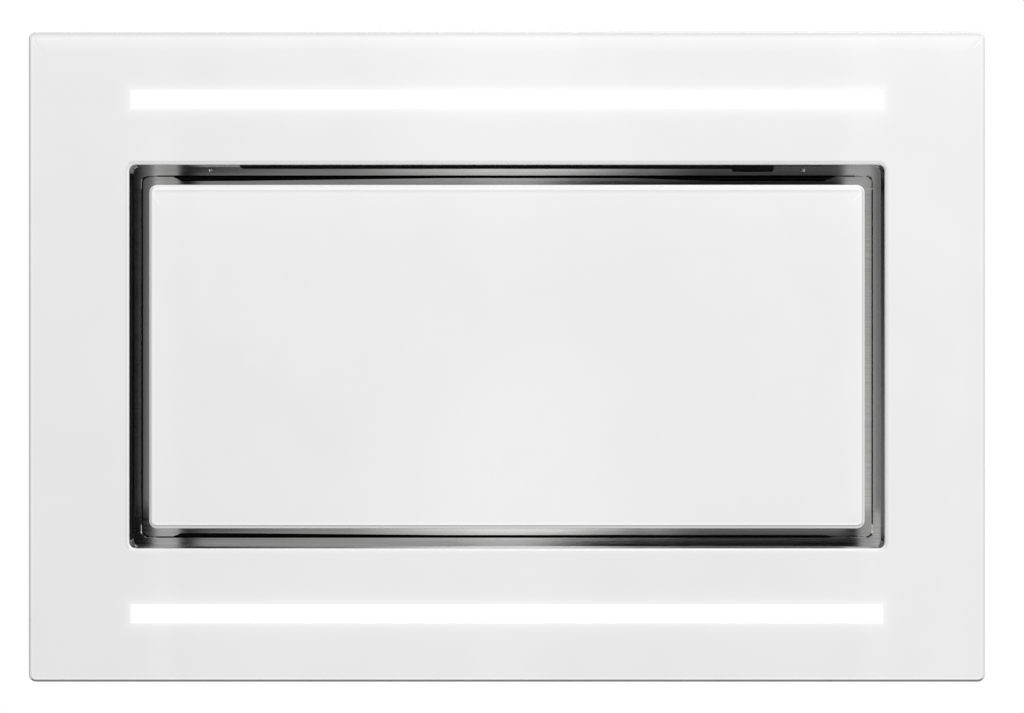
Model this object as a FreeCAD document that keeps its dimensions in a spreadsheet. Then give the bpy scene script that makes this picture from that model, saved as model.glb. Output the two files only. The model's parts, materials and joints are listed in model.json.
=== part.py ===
"""Ceiling range hood: a white glass frame and swing-down panel, with filters, casing and blower above.

Millimetres. +Z is up, the ceiling plane is z = 0 and the origin is the middle of the ceiling flange.
X runs along the long side of the frame, Y along the short side.
"""
import FreeCAD, Part
import Sketcher
import math
import os
import re

V = FreeCAD.Vector

SIZES = {
    # Glass frame, seen from below
    "frame_width": 900,
    "frame_depth": 612,
    "frame_corner": 7,
    "border_width": 94.5,
    "border_depth": 125.5,
    "opening_corner": 6,
    "glass_thickness": 6,
    "glass_edge": 2.4,
    "bond_thickness": 1,
    "bond_width": 12,
    "bond_setback": 3,
    # Folded sheet
    "sheet_gauge": 1,
    "bend_radius": 1,
    "carrier_gauge": 1.2,
    "carrier_rim": 4,
    "carrier_inset": 14,
    "carrier_flange": 14,
    "carrier_corner": 6,
    "carrier_margin": 4,
    # Light strips
    "light_end": 96,
    "light_inset": 64,
    "light_width": 17.5,
    "light_clearance": 0.25,
    "lens_recess": 0.3,
    "lens_shoulder": 3.25,
    "lens_slot": 0.5,
    "channel_height": 15,
    "channel_wall": 1.4,
    "channel_foot": 6,
    "channel_grip": 1,
    "board_width": 14,
    "board_gauge": 1.6,
    "chip_size": 5,
    "chip_height": 1,
    "chip_count": 20,
    "chip_margin": 18,
    # Recess and the deck above it
    "recess_depth": 42,
    "recess_inset": 10,
    "ledge_drop": 10,
    "ledge_draft": 0.5,
    "step_draft": 1,
    "recess_flange": 18,
    "recess_top_flange": 12,
    "deck_rim": 12,
    # Grease filters
    "filter_end": 26.5,
    "filter_side": 39.5,
    "filter_thickness": 9,
    "filter_spacing": 14,
    "filter_overlap": 6,
    "filter_rail": 10,
    "filter_lip": 1.2,
    "filter_groove": 4,
    "filter_corner": 4,
    "tongue_width": 24,
    "tongue_spacing": 160,
    "tongue_gauge": 2,
    "tongue_reach": 5,
    "tongue_clearance": 0.3,
    # Filter latches
    "latch_width": 28,
    "latch_stem": 4,
    "latch_bolt": 2,
    "latch_reach": 4,
    "latch_travel": 6,
    "latch_clearance": 0.3,
    "latch_grip": 5,
    "latch_grip_overhang": 5,
    "pocket_wall": 1.5,
    "pocket_margin": 3,
    # Swing-down panel
    "panel_gap": 18.75,
    "panel_corner": 7.5,
    "pan_clearance": 10,
    "pan_height": 9,
    "pan_flange": 8,
    "pan_corner": 10,
    "pan_edge": 2.5,
    "knuckle_radius": 4,
    "pin_radius": 2.5,
    "pin_clearance": 0.05,
    "hinge_setback": 10,
    "hinge_inset": 87,
    "arm_width": 24,
    "arm_length": 62,
    "arm_gauge": 2,
    "cheek_gauge": 2,
    "cheek_clearance": 0.3,
    "cheek_depth": 14,
    "cheek_below": 6,
    "cheek_corner": 5,
    # Magnet catch
    "catch_inset": 87,
    "catch_setback": 12,
    "strike_width": 30,
    "strike_gauge": 1.5,
    "strike_length": 30,
    "strike_overhang": 9,
    "magnet_radius": 8,
    "magnet_height": 5,
    "holder_width": 22,
    "holder_gauge": 1.5,
    "holder_flange": 22,
    # Casing
    "casing_gap": 2,
    "casing_height": 120,
    "casing_foot_gap": 1.6,
    "hanger_inset": 76,
    "hanger_reach": 14,
    "hanger_leg": 26,
    "hanger_drop": 46,
    "hanger_width": 44,
    "hanger_gauge": 2.5,
    "hanger_hole": 4.5,
    "hanger_below": 16,
    "hanger_corner": 8,
    # Blower
    "fan_x": -130,
    "fan_y": 60,
    "inlet_radius": 88,
    "inlet_wall": 1.5,
    "inlet_flare": 10,
    "inlet_flange": 116,
    "inlet_height": 8,
    "inlet_clearance": 5,
    "scroll_gauge": 1,
    "scroll_lip": 2,
    "scroll_height": 144,
    "scroll_cutoff": 13,
    "scroll_growth": 15,
    "scroll_outlet": 190,
    "tongue_place": 62,
    "tongue_radius": 8,
    "impeller_radius": 110,
    "impeller_eye": 94,
    "impeller_height": 100,
    "impeller_gauge": 1.5,
    "impeller_clearance": 14.5,
    "blade_count": 36,
    "blade_lean": 2,
    "blade_gauge": 1,
    # Motor
    "cup_radius": 45,
    "cup_wall": 4,
    "cup_height": 70,
    "cup_flange": 13,
    "cup_flange_gauge": 2,
    "air_gap": 1,
    "stator_height": 40,
    "stator_drop": 22,
    "stator_slots": 12,
    "stator_slot_width": 7,
    "stator_slot_depth": 14,
    "tube_radius": 13,
    "tube_clearance": 5,
    "bearing_radius": 8,
    "bearing_width": 5,
    "bearing_inset": 3,
    "shaft_radius": 4,
    "shaft_clearance": 0.03,
    "shaft_tail": 3,
    "motor_hole": 48,
    "mount_radius": 68,
    "mount_gauge": 4,
    "screw_circle": 57,
    "screw_count": 4,
    "screw_radius": 2.5,
    "screw_clearance": 0.2,
    "screw_head": 4.6,
    "screw_head_height": 2.8,
    "screw_length": 13,
    "damper_radius": 8,
    "damper_height": 3,
    "cap_radius": 46,
    "cap_height": 18,
    "cap_wall": 2,
    "cap_edge": 6,
    "cap_slots": 16,
    "cap_slot_inner": 14,
    "cap_slot_outer": 36,
    "cap_slot_width": 3,
    "capacitor_radius": 13,
    "capacitor_length": 58,
    "capacitor_edge": 2,
    "capacitor_offset": 98,
    "clip_gauge": 1.2,
    "clip_width": 14,
    "clip_foot": 9,
    # Outlet with its two flaps
    "duct_clearance": 1,
    "adapter_wall": 2,
    "adapter_lip": 7,
    "adapter_flange": 3,
    "adapter_length": 55,
    "collar_radius": 74.5,
    "collar_wall": 2,
    "collar_length": 80,
    "collar_flange": 3,
    "collar_rim": 6,
    "stop_height": 3,
    "stop_gauge": 2,
    "rod_radius": 1.5,
    "rod_setback": 8,
    "rod_clearance": 0.1,
    "rod_inset": 0.3,
    "flap_gauge": 1.2,
    "flap_clearance": 1,
    "flap_parting": 4,
    "barrel_radius": 3,
    "barrel_length": 24,
    "barrel_near": 5,
    "barrel_far": 36,
    # Control box
    "box_margin": 25,
    "box_width": 170,
    "box_depth": 110,
    "box_height": 46,
    "box_wall": 2.5,
    "box_corner": 6,
    "lid_gauge": 3,
    "lid_edge": 1.5,
    "post_radius": 4,
    "post_height": 6,
    "post_inset": 8,
    "box_gap": 9,
    "driver_width": 42,
    "driver_height": 28,
    "driver_edge": 2,
    "terminal_width": 60,
    "terminal_depth": 16,
    "terminal_height": 16,
    "terminal_edge": 4,
    "terminal_ways": 6,
    "terminal_hole": 2.6,
    "gland_radius": 8,
    "gland_bore": 4.5,
    "gland_hex": 11.5,
    "gland_hex_height": 6,
    "gland_nose": 9.5,
    "gland_nose_length": 12,
    "gland_nut_height": 5,
    "gland_level": 24,
}

# Levels and places that follow from the sizes
PLACES = {
    "opening_width": "frame_width - 2 * border_width",
    "opening_depth": "frame_depth - 2 * border_depth",
    "frame_drop": "glass_thickness + bond_thickness + sheet_gauge + carrier_rim",
    "glass_low": "-(frame_drop)",
    "glass_back": "glass_low + glass_thickness",
    "flange_low": "glass_back + bond_thickness",
    "carrier_low": "flange_low + sheet_gauge",
    "carrier_top": "carrier_low + carrier_gauge",
    "carrier_width": "frame_width - 2 * carrier_inset",
    "carrier_depth": "frame_depth - 2 * carrier_inset",
    "light_length": "frame_width - 2 * light_end",
    "light_place": "frame_depth / 2 - light_inset",
    "lens_flange": "light_width + 2 * lens_shoulder",
    "channel_inside": "lens_flange / 2 - channel_grip",
    "channel_top": "carrier_top + channel_height",
    "deck_low": "glass_back + recess_depth",
    "deck_top": "deck_low + sheet_gauge",
    "recess_width": "opening_width - 2 * recess_inset",
    "recess_length": "opening_depth - 2 * recess_inset",
    "ledge_low": "deck_low - ledge_drop",
    "ledge_width": "opening_width - 2 * ledge_draft",
    "ledge_length": "opening_depth - 2 * ledge_draft",
    "step_width": "recess_width + 2 * step_draft",
    "step_length": "recess_length + 2 * step_draft",
    "casing_width": "carrier_width - 2 * (carrier_flange + casing_gap)",
    "casing_depth": "carrier_depth - 2 * (carrier_flange + casing_gap)",
    "channel_reach": "channel_inside + channel_wall + channel_foot",
    "casing_flange": "casing_depth / 2 - light_place - channel_reach - casing_foot_gap",
    "hanger_spacing": "casing_depth - 2 * hanger_inset",
    "hanger_level": "casing_height - hanger_below",
    "casing_inside_width": "casing_width - 2 * sheet_gauge",
    "casing_inside_depth": "casing_depth - 2 * sheet_gauge",
    "filter_width": "(recess_width - filter_spacing) / 2 - filter_end",
    "filter_depth": "recess_length - 2 * filter_side",
    "filter_low": "deck_low - filter_thickness",
    "filter_place": "(filter_width + filter_spacing) / 2",
    "filter_hole_width": "filter_width - 2 * filter_overlap",
    "filter_hole_depth": "filter_depth - 2 * filter_overlap",
    "mesh_width": "filter_width - 2 * filter_rail + 2 * filter_groove",
    "mesh_depth": "filter_depth - 2 * filter_rail + 2 * filter_groove",
    "bolt_low": "deck_top + latch_clearance",
    "rail_inside": "-filter_depth / 2 + filter_rail",
    "stem_front": "rail_inside + pocket_margin + latch_clearance",
    "slot_back": "stem_front + latch_stem + latch_travel + latch_clearance",
    "pocket_back": "slot_back + pocket_margin + pocket_wall",
    "pocket_side": "latch_width / 2 + pocket_margin + pocket_wall",
    "panel_width": "opening_width - 2 * panel_gap",
    "panel_depth": "opening_depth - 2 * panel_gap",
    "pan_low": "glass_back + bond_thickness",
    "pan_top": "pan_low + pan_height",
    "pan_inset": "hinge_setback + pan_clearance",
    "pan_width": "panel_width - 2 * pan_inset",
    "pan_depth": "panel_depth - 2 * pan_inset",
    "hinge_spacing": "panel_width - 2 * hinge_inset",
    "catch_spacing": "panel_width - 2 * catch_inset",
    "hinge_place": "panel_depth / 2 - hinge_setback",
    "hinge_level": "pan_top + knuckle_radius",
    "cheek_inside": "arm_width / 2 + cheek_clearance",
    "catch_place": "catch_setback - panel_depth / 2",
    "strike_top": "pan_top + strike_gauge",
    "magnet_top": "strike_top + magnet_height",
    "scroll_low": "casing_height + inlet_height",
    "wrap_low": "scroll_low + scroll_gauge",
    "wrap_top": "wrap_low + scroll_height",
    "lid_top": "wrap_top + scroll_gauge",
    "impeller_top": "wrap_top - impeller_clearance",
    "impeller_low": "impeller_top - impeller_height",
    "mount_low": "lid_top + damper_height",
    "mount_top": "mount_low + mount_gauge",
    "cup_top": "impeller_top + cup_flange_gauge",
    "cup_low": "cup_top - cup_height",
    "tube_length": "mount_low - cup_low - cup_wall - tube_clearance",
    "blade_curve": "impeller_radius - impeller_eye + blade_lean",
    "scroll_reach": "impeller_radius + scroll_cutoff + 3 * scroll_growth",
    "scroll_middle": "wrap_low + scroll_height / 2",
    "stator_radius": "cup_radius - cup_wall - air_gap",
    "outlet_level": "casing_height + duct_clearance + collar_radius + collar_rim",
    "outlet_reach": "scroll_reach + scroll_growth / 2",
    "outlet_width": "outlet_reach - tongue_place",
    "outlet_place": "fan_y - (outlet_reach + tongue_place) / 2",
    "adapter_start": "fan_x + scroll_outlet",
    "collar_start": "adapter_start + adapter_flange + adapter_length",
    "collar_bore": "collar_radius - collar_wall",
    "rod_place": "collar_start + collar_flange + rod_setback",
    "flap_radius": "collar_bore - flap_clearance",
    "box_x": "casing_width / 2 - box_margin - box_width / 2",
    "box_y": "casing_depth / 2 - box_margin - box_depth / 2",
    "box_inside": "box_width / 2 - box_wall - box_gap",
    "control_width": "2 * box_inside - driver_width - box_gap",
    "control_depth": "box_depth - 2 * (box_wall + box_gap)",
    "control_place": "control_width / 2 - box_inside",
    "driver_place": "box_inside - driver_width / 2",
    "terminal_place": "(control_depth - terminal_depth) / 2 - terminal_edge",
    "box_floor": "casing_height + box_wall",
    "board_low": "box_floor + post_height",
    "board_top": "board_low + board_gauge",
    "box_top": "casing_height + box_height",
}

doc = FreeCAD.newDocument("CeilingHood")
sheet = doc.addObject("Spreadsheet::Sheet", "Dims")
for row, (alias, size) in enumerate(SIZES.items(), start=1):
    sheet.set(f"A{row}", alias)
    sheet.set(f"B{row}", str(size))
    sheet.setAlias(f"B{row}", alias)
doc.recompute()

nodes = {}
cuts = []


def formula(text):
    """Return text as a sheet expression, with each size and each place spelled out."""
    def spell(match):
        word = match.group(0)
        if word in SIZES:
            return "Dims." + word
        if word in PLACES:
            return "(" + formula(PLACES[word]) + ")"
        return word
    return re.sub(r"[a-z_]+", spell, str(text))


def number(text):
    """Return the present value of a formula."""
    return float(sheet.evalExpression(formula(text)))


def publish(label, piece):
    """Name a finished piece; the name is also its file's name."""
    piece.Label = label
    nodes[label] = piece
    return piece


def new_body(label, x="0", y="0", z="0"):
    """Start a body whose own origin stands at the given place."""
    body = doc.addObject("PartDesign::Body", label)
    body.AllowCompound = True
    for axis, place in zip("xyz", (x, y, z)):
        body.setExpression("Placement.Base." + axis, formula(place))
    return body


def origin_of(body, role):
    """Return one of the body's own origin planes or axes."""
    return next(item for item in body.Origin.OriginFeatures if item.Role == role)


def new_sketch(body, plane, height="0"):
    """Start a sketch on a plane of the body, moved along +X, +Y or +Z by height."""
    sketch = body.newObject("Sketcher::SketchObject", "Outline")
    sketch.AttachmentSupport = (origin_of(body, plane), [""])
    sketch.MapMode = "FlatFace"
    # The front plane of a body faces -Y
    sign = "-" if plane == "XZ_Plane" else ""
    sketch.setExpression("AttachmentOffset.Base.z", formula(f"{sign}({height})"))
    return sketch


def bind(sketch, limits):
    """Add dimensions, each given as (kind, elements, formula), and tie them to the sheet."""
    made = [Sketcher.Constraint(kind, *where, number(text)) for kind, where, text in limits]
    first = sketch.ConstraintCount
    sketch.addConstraint(made)
    for index, (_, _, text) in enumerate(limits, start=first):
        sketch.setExpression(f"Constraints[{index}]", formula(text))


def arc_between(begin, end, radius, turn):
    """Return the shorter arc from begin to end, which bends left for turn 1 and right for turn -1."""
    chord = end - begin
    rise = math.sqrt(max(radius ** 2 - chord.Length ** 2 / 4, 0))
    left = V(-chord.y, chord.x, 0).normalize()
    centre = (begin + end) / 2 + left * rise * turn
    angles = [math.atan2(point.y - centre.y, point.x - centre.x) for point in (begin, end)]
    if turn < 0:
        angles.reverse()
    if angles[1] < angles[0]:
        angles[1] += 2 * math.pi
    return Part.ArcOfCircle(Part.Circle(centre, V(0, 0, 1), radius), *angles)


def contour(sketch, corners):
    """Draw a closed outline. A corner is (x, y), or (x, y, radius, turn) where an arc leads on."""
    first = sketch.GeometryCount
    count = len(corners)
    points = [V(number(corner[0]), number(corner[1]), 0) for corner in corners]
    edges = []
    ends = []
    for index, corner in enumerate(corners):
        begin, end = points[index], points[(index + 1) % count]
        if len(corner) == 2:
            edges.append(Part.LineSegment(begin, end))
            ends.append((1, 2))
        else:
            edges.append(arc_between(begin, end, number(corner[2]), corner[3]))
            ends.append((1, 2) if corner[3] > 0 else (2, 1))
    sketch.addGeometry(edges, False)
    links = []
    limits = []
    for index, corner in enumerate(corners):
        here, after = first + index, first + (index + 1) % count
        links.append(Sketcher.Constraint("Coincident", here, ends[index][1], after, ends[(index + 1) % count][0]))
        limits.append(("DistanceX", (-1, 1, here, ends[index][0]), corner[0]))
        limits.append(("DistanceY", (-1, 1, here, ends[index][0]), corner[1]))
        if len(corner) > 2:
            limits.append(("Radius", (here,), corner[2]))
    sketch.addConstraint(links)
    bind(sketch, limits)


def rectangle(sketch, wide, deep, x="0", y="0", corner=None):
    """Draw a rectangle about (x, y), with rounded corners where a corner radius is given."""
    west, east = f"{x} - ({wide}) / 2", f"{x} + ({wide}) / 2"
    south, north = f"{y} - ({deep}) / 2", f"{y} + ({deep}) / 2"
    if corner is None:
        contour(sketch, [(west, south), (east, south), (east, north), (west, north)])
        return
    bend = (corner, 1)
    contour(sketch, [
        (f"{west} + {corner}", south), (f"{east} - ({corner})", south, *bend),
        (east, f"{south} + {corner}"), (east, f"{north} - ({corner})", *bend),
        (f"{east} - ({corner})", north), (f"{west} + {corner}", north, *bend),
        (west, f"{north} - ({corner})"), (west, f"{south} + {corner}", *bend)])


def span(sketch, west, east, south, north):
    """Draw a rectangle between two x and two y places."""
    contour(sketch, [(west, south), (east, south), (east, north), (west, north)])


def circle(sketch, radius, x="0", y="0"):
    """Draw a circle about (x, y)."""
    centre = V(number(x), number(y), 0)
    index = sketch.addGeometry(Part.Circle(centre, V(0, 0, 1), number(radius)), False)
    bind(sketch, [("DistanceX", (-1, 1, index, 3), x), ("DistanceY", (-1, 1, index, 3), y),
                  ("Radius", (index,), radius)])


def quartered_circle(sketch, radius, x="0", y="0"):
    """Draw a circle of four arcs, which meet on the diagonals as a rectangle's corners do."""
    half = f"({radius}) * sqrt(0.5)"
    signs = ((-1, -1), (1, -1), (1, 1), (-1, 1))
    contour(sketch, [(f"{x} + ({a}) * {half}", f"{y} + ({b}) * {half}", radius, 1) for a, b in signs])


def shifted(text, steps, distance):
    """Return a place moved by a whole number of distances."""
    return f"{text} + ({steps}) * ({distance})" if steps else text


def folded(sketch, path, gauge, bend="bend_radius"):
    """Draw the section of a sheet folded square along path; its thickness lies left of the path."""
    points = [(number(x), number(y)) for x, y in path]
    ways = []
    for (ax, ay), (bx, by) in zip(points, points[1:]):
        ways.append((round(math.copysign(1, bx - ax)) if abs(bx - ax) > abs(by - ay) else 0,
                     round(math.copysign(1, by - ay)) if abs(by - ay) > abs(bx - ax) else 0))
    left = [(-dy, dx) for dx, dy in ways]
    outside = f"{bend} + {gauge}"
    near = [path[0]]
    far = [tuple(shifted(place, step, gauge) for place, step in zip(path[0], left[0]))]
    for corner, before, after, n_before, n_after in zip(path[1:-1], ways, ways[1:], left, left[1:]):
        turn = before[0] * after[1] - before[1] * after[0]
        near_radius, far_radius = (outside, bend) if turn > 0 else (bend, outside)
        near.append((*(shifted(c, -s, near_radius) for c, s in zip(corner, before)), near_radius, turn))
        near.append(tuple(shifted(c, s, near_radius) for c, s in zip(corner, after)))
        offset = [shifted(c, a + b, gauge) for c, a, b in zip(corner, n_before, n_after)]
        far.append(tuple(shifted(c, -s, far_radius) for c, s in zip(offset, before)))
        far.append((*(shifted(c, s, far_radius) for c, s in zip(offset, after)), far_radius, -turn))
    near.append(path[-1])
    far.append(tuple(shifted(place, step, gauge) for place, step in zip(path[-1], left[-1])))
    contour(sketch, near + far[::-1])


def pad(body, sketch, length, both_ways=False, backward=False):
    """Raise a sketch by a length, to one side or half to each side."""
    feature = body.newObject("PartDesign::Pad", "Raised")
    feature.Profile = sketch
    feature.SideType = "Symmetric" if both_ways else "One side"
    feature.Reversed = backward
    feature.setExpression("Length", formula(length))
    return feature


def pocket(body, sketch, length, both_ways=False, upward=True):
    """Cut a sketch into the body; upward cuts along the sketch's own normal."""
    feature = body.newObject("PartDesign::Pocket", "Cut")
    feature.Profile = sketch
    feature.SideType = "Symmetric" if both_ways else "One side"
    feature.Reversed = upward
    feature.setExpression("Length", formula(length))
    cuts.append(feature)
    return feature


def revolve(body, sketch, axis="V_Axis"):
    """Turn a sketch once round one of its own axes."""
    feature = body.newObject("PartDesign::Revolution", "Turned")
    feature.Profile = sketch
    feature.ReferenceAxis = (sketch, [axis])
    feature.Angle = 360
    return feature


def loft(body, sketches, cut=False):
    """Join two sections with straight sides, or cut that form out."""
    kind = "PartDesign::SubtractiveLoft" if cut else "PartDesign::AdditiveLoft"
    feature = body.newObject(kind, "Lofted")
    feature.Profile = sketches[0]
    feature.Sections = sketches[1:]
    feature.Ruled = True
    if cut:
        cuts.append(feature)
    return feature


def round_edges(body, radius, wanted):
    """Round the edges of the body that wanted picks."""
    doc.recompute()
    base = body.Tip
    names = [f"Edge{i}" for i, edge in enumerate(base.Shape.Edges, start=1) if wanted(edge)]
    if not names:
        raise ValueError(f"{body.Label}: no edge to round")
    feature = body.newObject("PartDesign::Fillet", "Rounded")
    feature.Base = (base, names)
    feature.setExpression("Radius", formula(radius))
    return feature


def repeat_round(body, features, count):
    """Repeat features evenly round the body's Z axis."""
    pattern = body.newObject("PartDesign::PolarPattern", "Ring")
    pattern.Originals = features
    pattern.Axis = (origin_of(body, "Z_Axis"), [""])
    pattern.Angle = 360
    pattern.setExpression("Occurrences", formula(count))
    body.Tip = pattern
    return pattern


def repeat_along(body, features, role, length, count):
    """Repeat features evenly along one of the body's axes."""
    pattern = body.newObject("PartDesign::LinearPattern", "Row")
    pattern.Originals = features
    pattern.Direction = (origin_of(body, role), [""])
    pattern.setExpression("Length", formula(length))
    pattern.setExpression("Occurrences", formula(count))
    body.Tip = pattern
    return pattern


def mirror(source, axis):
    """Return the mirror image of a piece through the origin, across the given axis."""
    twin = doc.addObject("Part::Mirroring", source.Name + "_twin")
    twin.Source = source
    twin.Normal = axis
    return twin


def group(label, pieces):
    """Keep like pieces together as one named group of separate solids."""
    compound = doc.addObject("Part::Compound", label)
    compound.Links = pieces
    return publish(label, compound)


# A ground edge never takes more than the glass has
GROUND_EDGE = "min(glass_edge; 0.45 * glass_thickness)"
ACROSS_X = V(1, 0, 0)
ACROSS_Y = V(0, 1, 0)


def is_upright(edge):
    """Tell whether an edge runs straight up."""
    box = edge.BoundBox
    return box.XLength < 1e-4 and box.YLength < 1e-4


def lies_at(edge, level):
    """Tell whether an edge lies flat at a level."""
    box = edge.BoundBox
    return abs(box.ZMin - level) < 1e-4 and abs(box.ZMax - level) < 1e-4


def is_circle(edge, radius):
    """Tell whether an edge is an arc of the given radius."""
    return isinstance(edge.Curve, Part.Circle) and abs(edge.Curve.Radius - radius) < 1e-4


def build_frame():
    """Glass frame, its tape, and the folded tray that carries it on the ceiling."""
    glass = new_body("frame_glass")
    sketch = new_sketch(glass, "XY_Plane", "glass_low")
    rectangle(sketch, "frame_width", "frame_depth", corner="frame_corner")
    rectangle(sketch, "opening_width", "opening_depth", corner="opening_corner")
    for side in ("", "-"):
        rectangle(sketch, "light_length", "light_width", y=f"{side}light_place")
    pad(glass, sketch, "glass_thickness")
    low, back = number("glass_low"), number("glass_back")
    window_reach = number("light_width") / 2 + 0.01

    def on_ground_edge(edge):
        beside_window = abs(abs(edge.CenterOfMass.y) - number("light_place")) < window_reach
        return (lies_at(edge, low) or lies_at(edge, back)) and not beside_window

    # The outer edge and the opening are ground to a pencil edge, the light windows are cut square
    round_edges(glass, GROUND_EDGE, on_ground_edge)
    publish("frame_glass", glass)

    outer = new_body("frame_bond_outer")
    sketch = new_sketch(outer, "XY_Plane", "glass_back")
    outside = "2 * (bond_setback + 2 * sheet_gauge)"
    rectangle(sketch, f"carrier_width - {outside}", f"carrier_depth - {outside}")
    inside = f"{outside} - 2 * bond_width"
    rectangle(sketch, f"carrier_width - {inside}", f"carrier_depth - {inside}")
    pad(outer, sketch, "carrier_low - glass_back")
    inner = new_body("frame_bond_inner")
    sketch = new_sketch(inner, "XY_Plane", "glass_back")
    near = "2 * bond_setback"
    rectangle(sketch, f"opening_width + {near}", f"opening_depth + {near}")
    rectangle(sketch, f"opening_width + {near} + 2 * bond_width", f"opening_depth + {near} + 2 * bond_width")
    pad(inner, sketch, "bond_thickness")
    group("frame_bond", [outer, inner])

    carrier = new_body("frame_carrier")
    outline = ("carrier_width", "carrier_depth")
    sketch = new_sketch(carrier, "XY_Plane", "carrier_low")
    rectangle(sketch, *outline, corner="carrier_corner")
    rectangle(sketch, "opening_width + 2 * carrier_margin", "opening_depth + 2 * carrier_margin",
              corner="opening_corner")
    for side in ("", "-"):
        rectangle(sketch, "light_length + 2 * lens_slot", "lens_flange + 2 * lens_slot", y=f"{side}light_place")
    pad(carrier, sketch, "carrier_gauge")
    wall = "2 * carrier_gauge"
    sketch = new_sketch(carrier, "XY_Plane", "carrier_low")
    rectangle(sketch, *outline, corner="carrier_corner")
    rectangle(sketch, f"carrier_width - {wall}", f"carrier_depth - {wall}", corner="carrier_corner - carrier_gauge")
    pad(carrier, sketch, "-carrier_low")
    sketch = new_sketch(carrier, "XY_Plane", "-carrier_gauge")
    rectangle(sketch, *outline, corner="carrier_corner")
    rectangle(sketch, "carrier_width - 2 * carrier_flange", "carrier_depth - 2 * carrier_flange")
    pad(carrier, sketch, "carrier_gauge")
    publish("frame_carrier", carrier)


def build_lights():
    """Opal strips in the frame's windows, the channels behind them and the LED boards."""
    lens = new_body("front_light_lens")
    sketch = new_sketch(lens, "YZ_Plane")
    stem = "light_width / 2 - light_clearance"
    middle = "-light_place"
    low = "glass_low + lens_recess"
    contour(sketch, [
        (f"{middle} - ({stem})", low), (f"{middle} + {stem}", low),
        (f"{middle} + {stem}", "glass_back"), (f"{middle} + lens_flange / 2", "glass_back"),
        (f"{middle} + lens_flange / 2", "carrier_top"), (f"{middle} - lens_flange / 2", "carrier_top"),
        (f"{middle} - lens_flange / 2", "glass_back"), (f"{middle} - ({stem})", "glass_back")])
    pad(lens, sketch, "light_length - 2 * light_clearance", both_ways=True)
    publish("front_light_lens", lens)
    publish("rear_light_lens", mirror(lens, ACROSS_Y))

    channel = new_body("front_light_channel")
    sketch = new_sketch(channel, "YZ_Plane")
    leg = "channel_inside + channel_wall"
    folded(sketch, [
        (f"{middle} + {leg} + channel_foot", "carrier_top + channel_wall"),
        (f"{middle} + {leg}", "carrier_top + channel_wall"), (f"{middle} + {leg}", "channel_top"),
        (f"{middle} - ({leg})", "channel_top"), (f"{middle} - ({leg})", "carrier_top + channel_wall"),
        (f"{middle} - ({leg} + channel_foot)", "carrier_top + channel_wall")], "channel_wall")
    pad(channel, sketch, "light_length", both_ways=True)
    publish("front_light_channel", channel)
    publish("rear_light_channel", mirror(channel, ACROSS_Y))

    board = new_body("light_board", y=middle, z="channel_top - channel_wall - board_gauge")
    sketch = new_sketch(board, "XY_Plane")
    rectangle(sketch, "light_length - chip_margin", "board_width")
    pad(board, sketch, "board_gauge")
    sketch = new_sketch(board, "XY_Plane")
    rectangle(sketch, "chip_size", "chip_size", x="chip_margin - light_length / 2")
    chip = pad(board, sketch, "chip_height", backward=True)
    repeat_along(board, [chip], "X_Axis", "light_length - 2 * chip_margin", "chip_count")
    group("light_boards", [board, mirror(board, ACROSS_Y)])


def build_recess():
    """Stepped steel surround behind the suction slot, and the deck that carries the filters."""
    surround = new_body("recess_surround")

    def section(level, wide, deep, extra):
        sketch = new_sketch(surround, "XY_Plane", level)
        grow = f"2 * ({extra})"
        rectangle(sketch, f"{wide} + {grow}", f"{deep} + {grow}", corner=f"opening_corner + {extra}")
        return sketch

    # The wall rises from the glass to a narrow ledge, then steps up to the deck
    mouth = ("flange_low", "opening_width", "opening_depth")
    ledge = ("ledge_low", "ledge_width", "ledge_length")
    step = ("ledge_low", "step_width", "step_length")
    top = ("deck_low", "recess_width", "recess_length")
    loft(surround, [section(*mouth, "sheet_gauge"), section(*ledge, "sheet_gauge")])
    pad(surround, section(*ledge, "sheet_gauge"), "sheet_gauge")
    loft(surround, [section(*step, "sheet_gauge"), section(*top, "sheet_gauge")])
    pad(surround, section(*mouth, "recess_flange"), "sheet_gauge")
    pad(surround, section(*top, "recess_top_flange"), "sheet_gauge", backward=True)
    loft(surround, [section(*mouth, "0"), section(*ledge, "0")], cut=True)
    loft(surround, [section(*step, "0"), section(*top, "0")], cut=True)
    publish("recess_surround", surround)

    deck = new_body("filter_deck")
    sketch = new_sketch(deck, "XY_Plane", "deck_low")
    inside = ("casing_inside_width", "casing_inside_depth")
    rectangle(sketch, *inside)
    for side in ("", "-"):
        rectangle(sketch, "filter_hole_width", "filter_hole_depth", x=f"{side}filter_place", corner="filter_corner")
    pad(deck, sketch, "sheet_gauge")
    sketch = new_sketch(deck, "XY_Plane", "deck_low")
    rectangle(sketch, *inside)
    rectangle(sketch, "casing_inside_width - 2 * sheet_gauge", "casing_inside_depth - 2 * sheet_gauge")
    pad(deck, sketch, "deck_rim")
    low = number("deck_low")
    half_width, half_depth = number("casing_inside_width") / 2, number("casing_inside_depth") / 2

    def on_fold(edge):
        middle = edge.CenterOfMass
        outside = abs(abs(middle.x) - half_width) < 1e-4 or abs(abs(middle.y) - half_depth) < 1e-4
        return lies_at(edge, low) and outside

    round_edges(deck, "bend_radius", on_fold)
    publish("filter_deck", deck)


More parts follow.
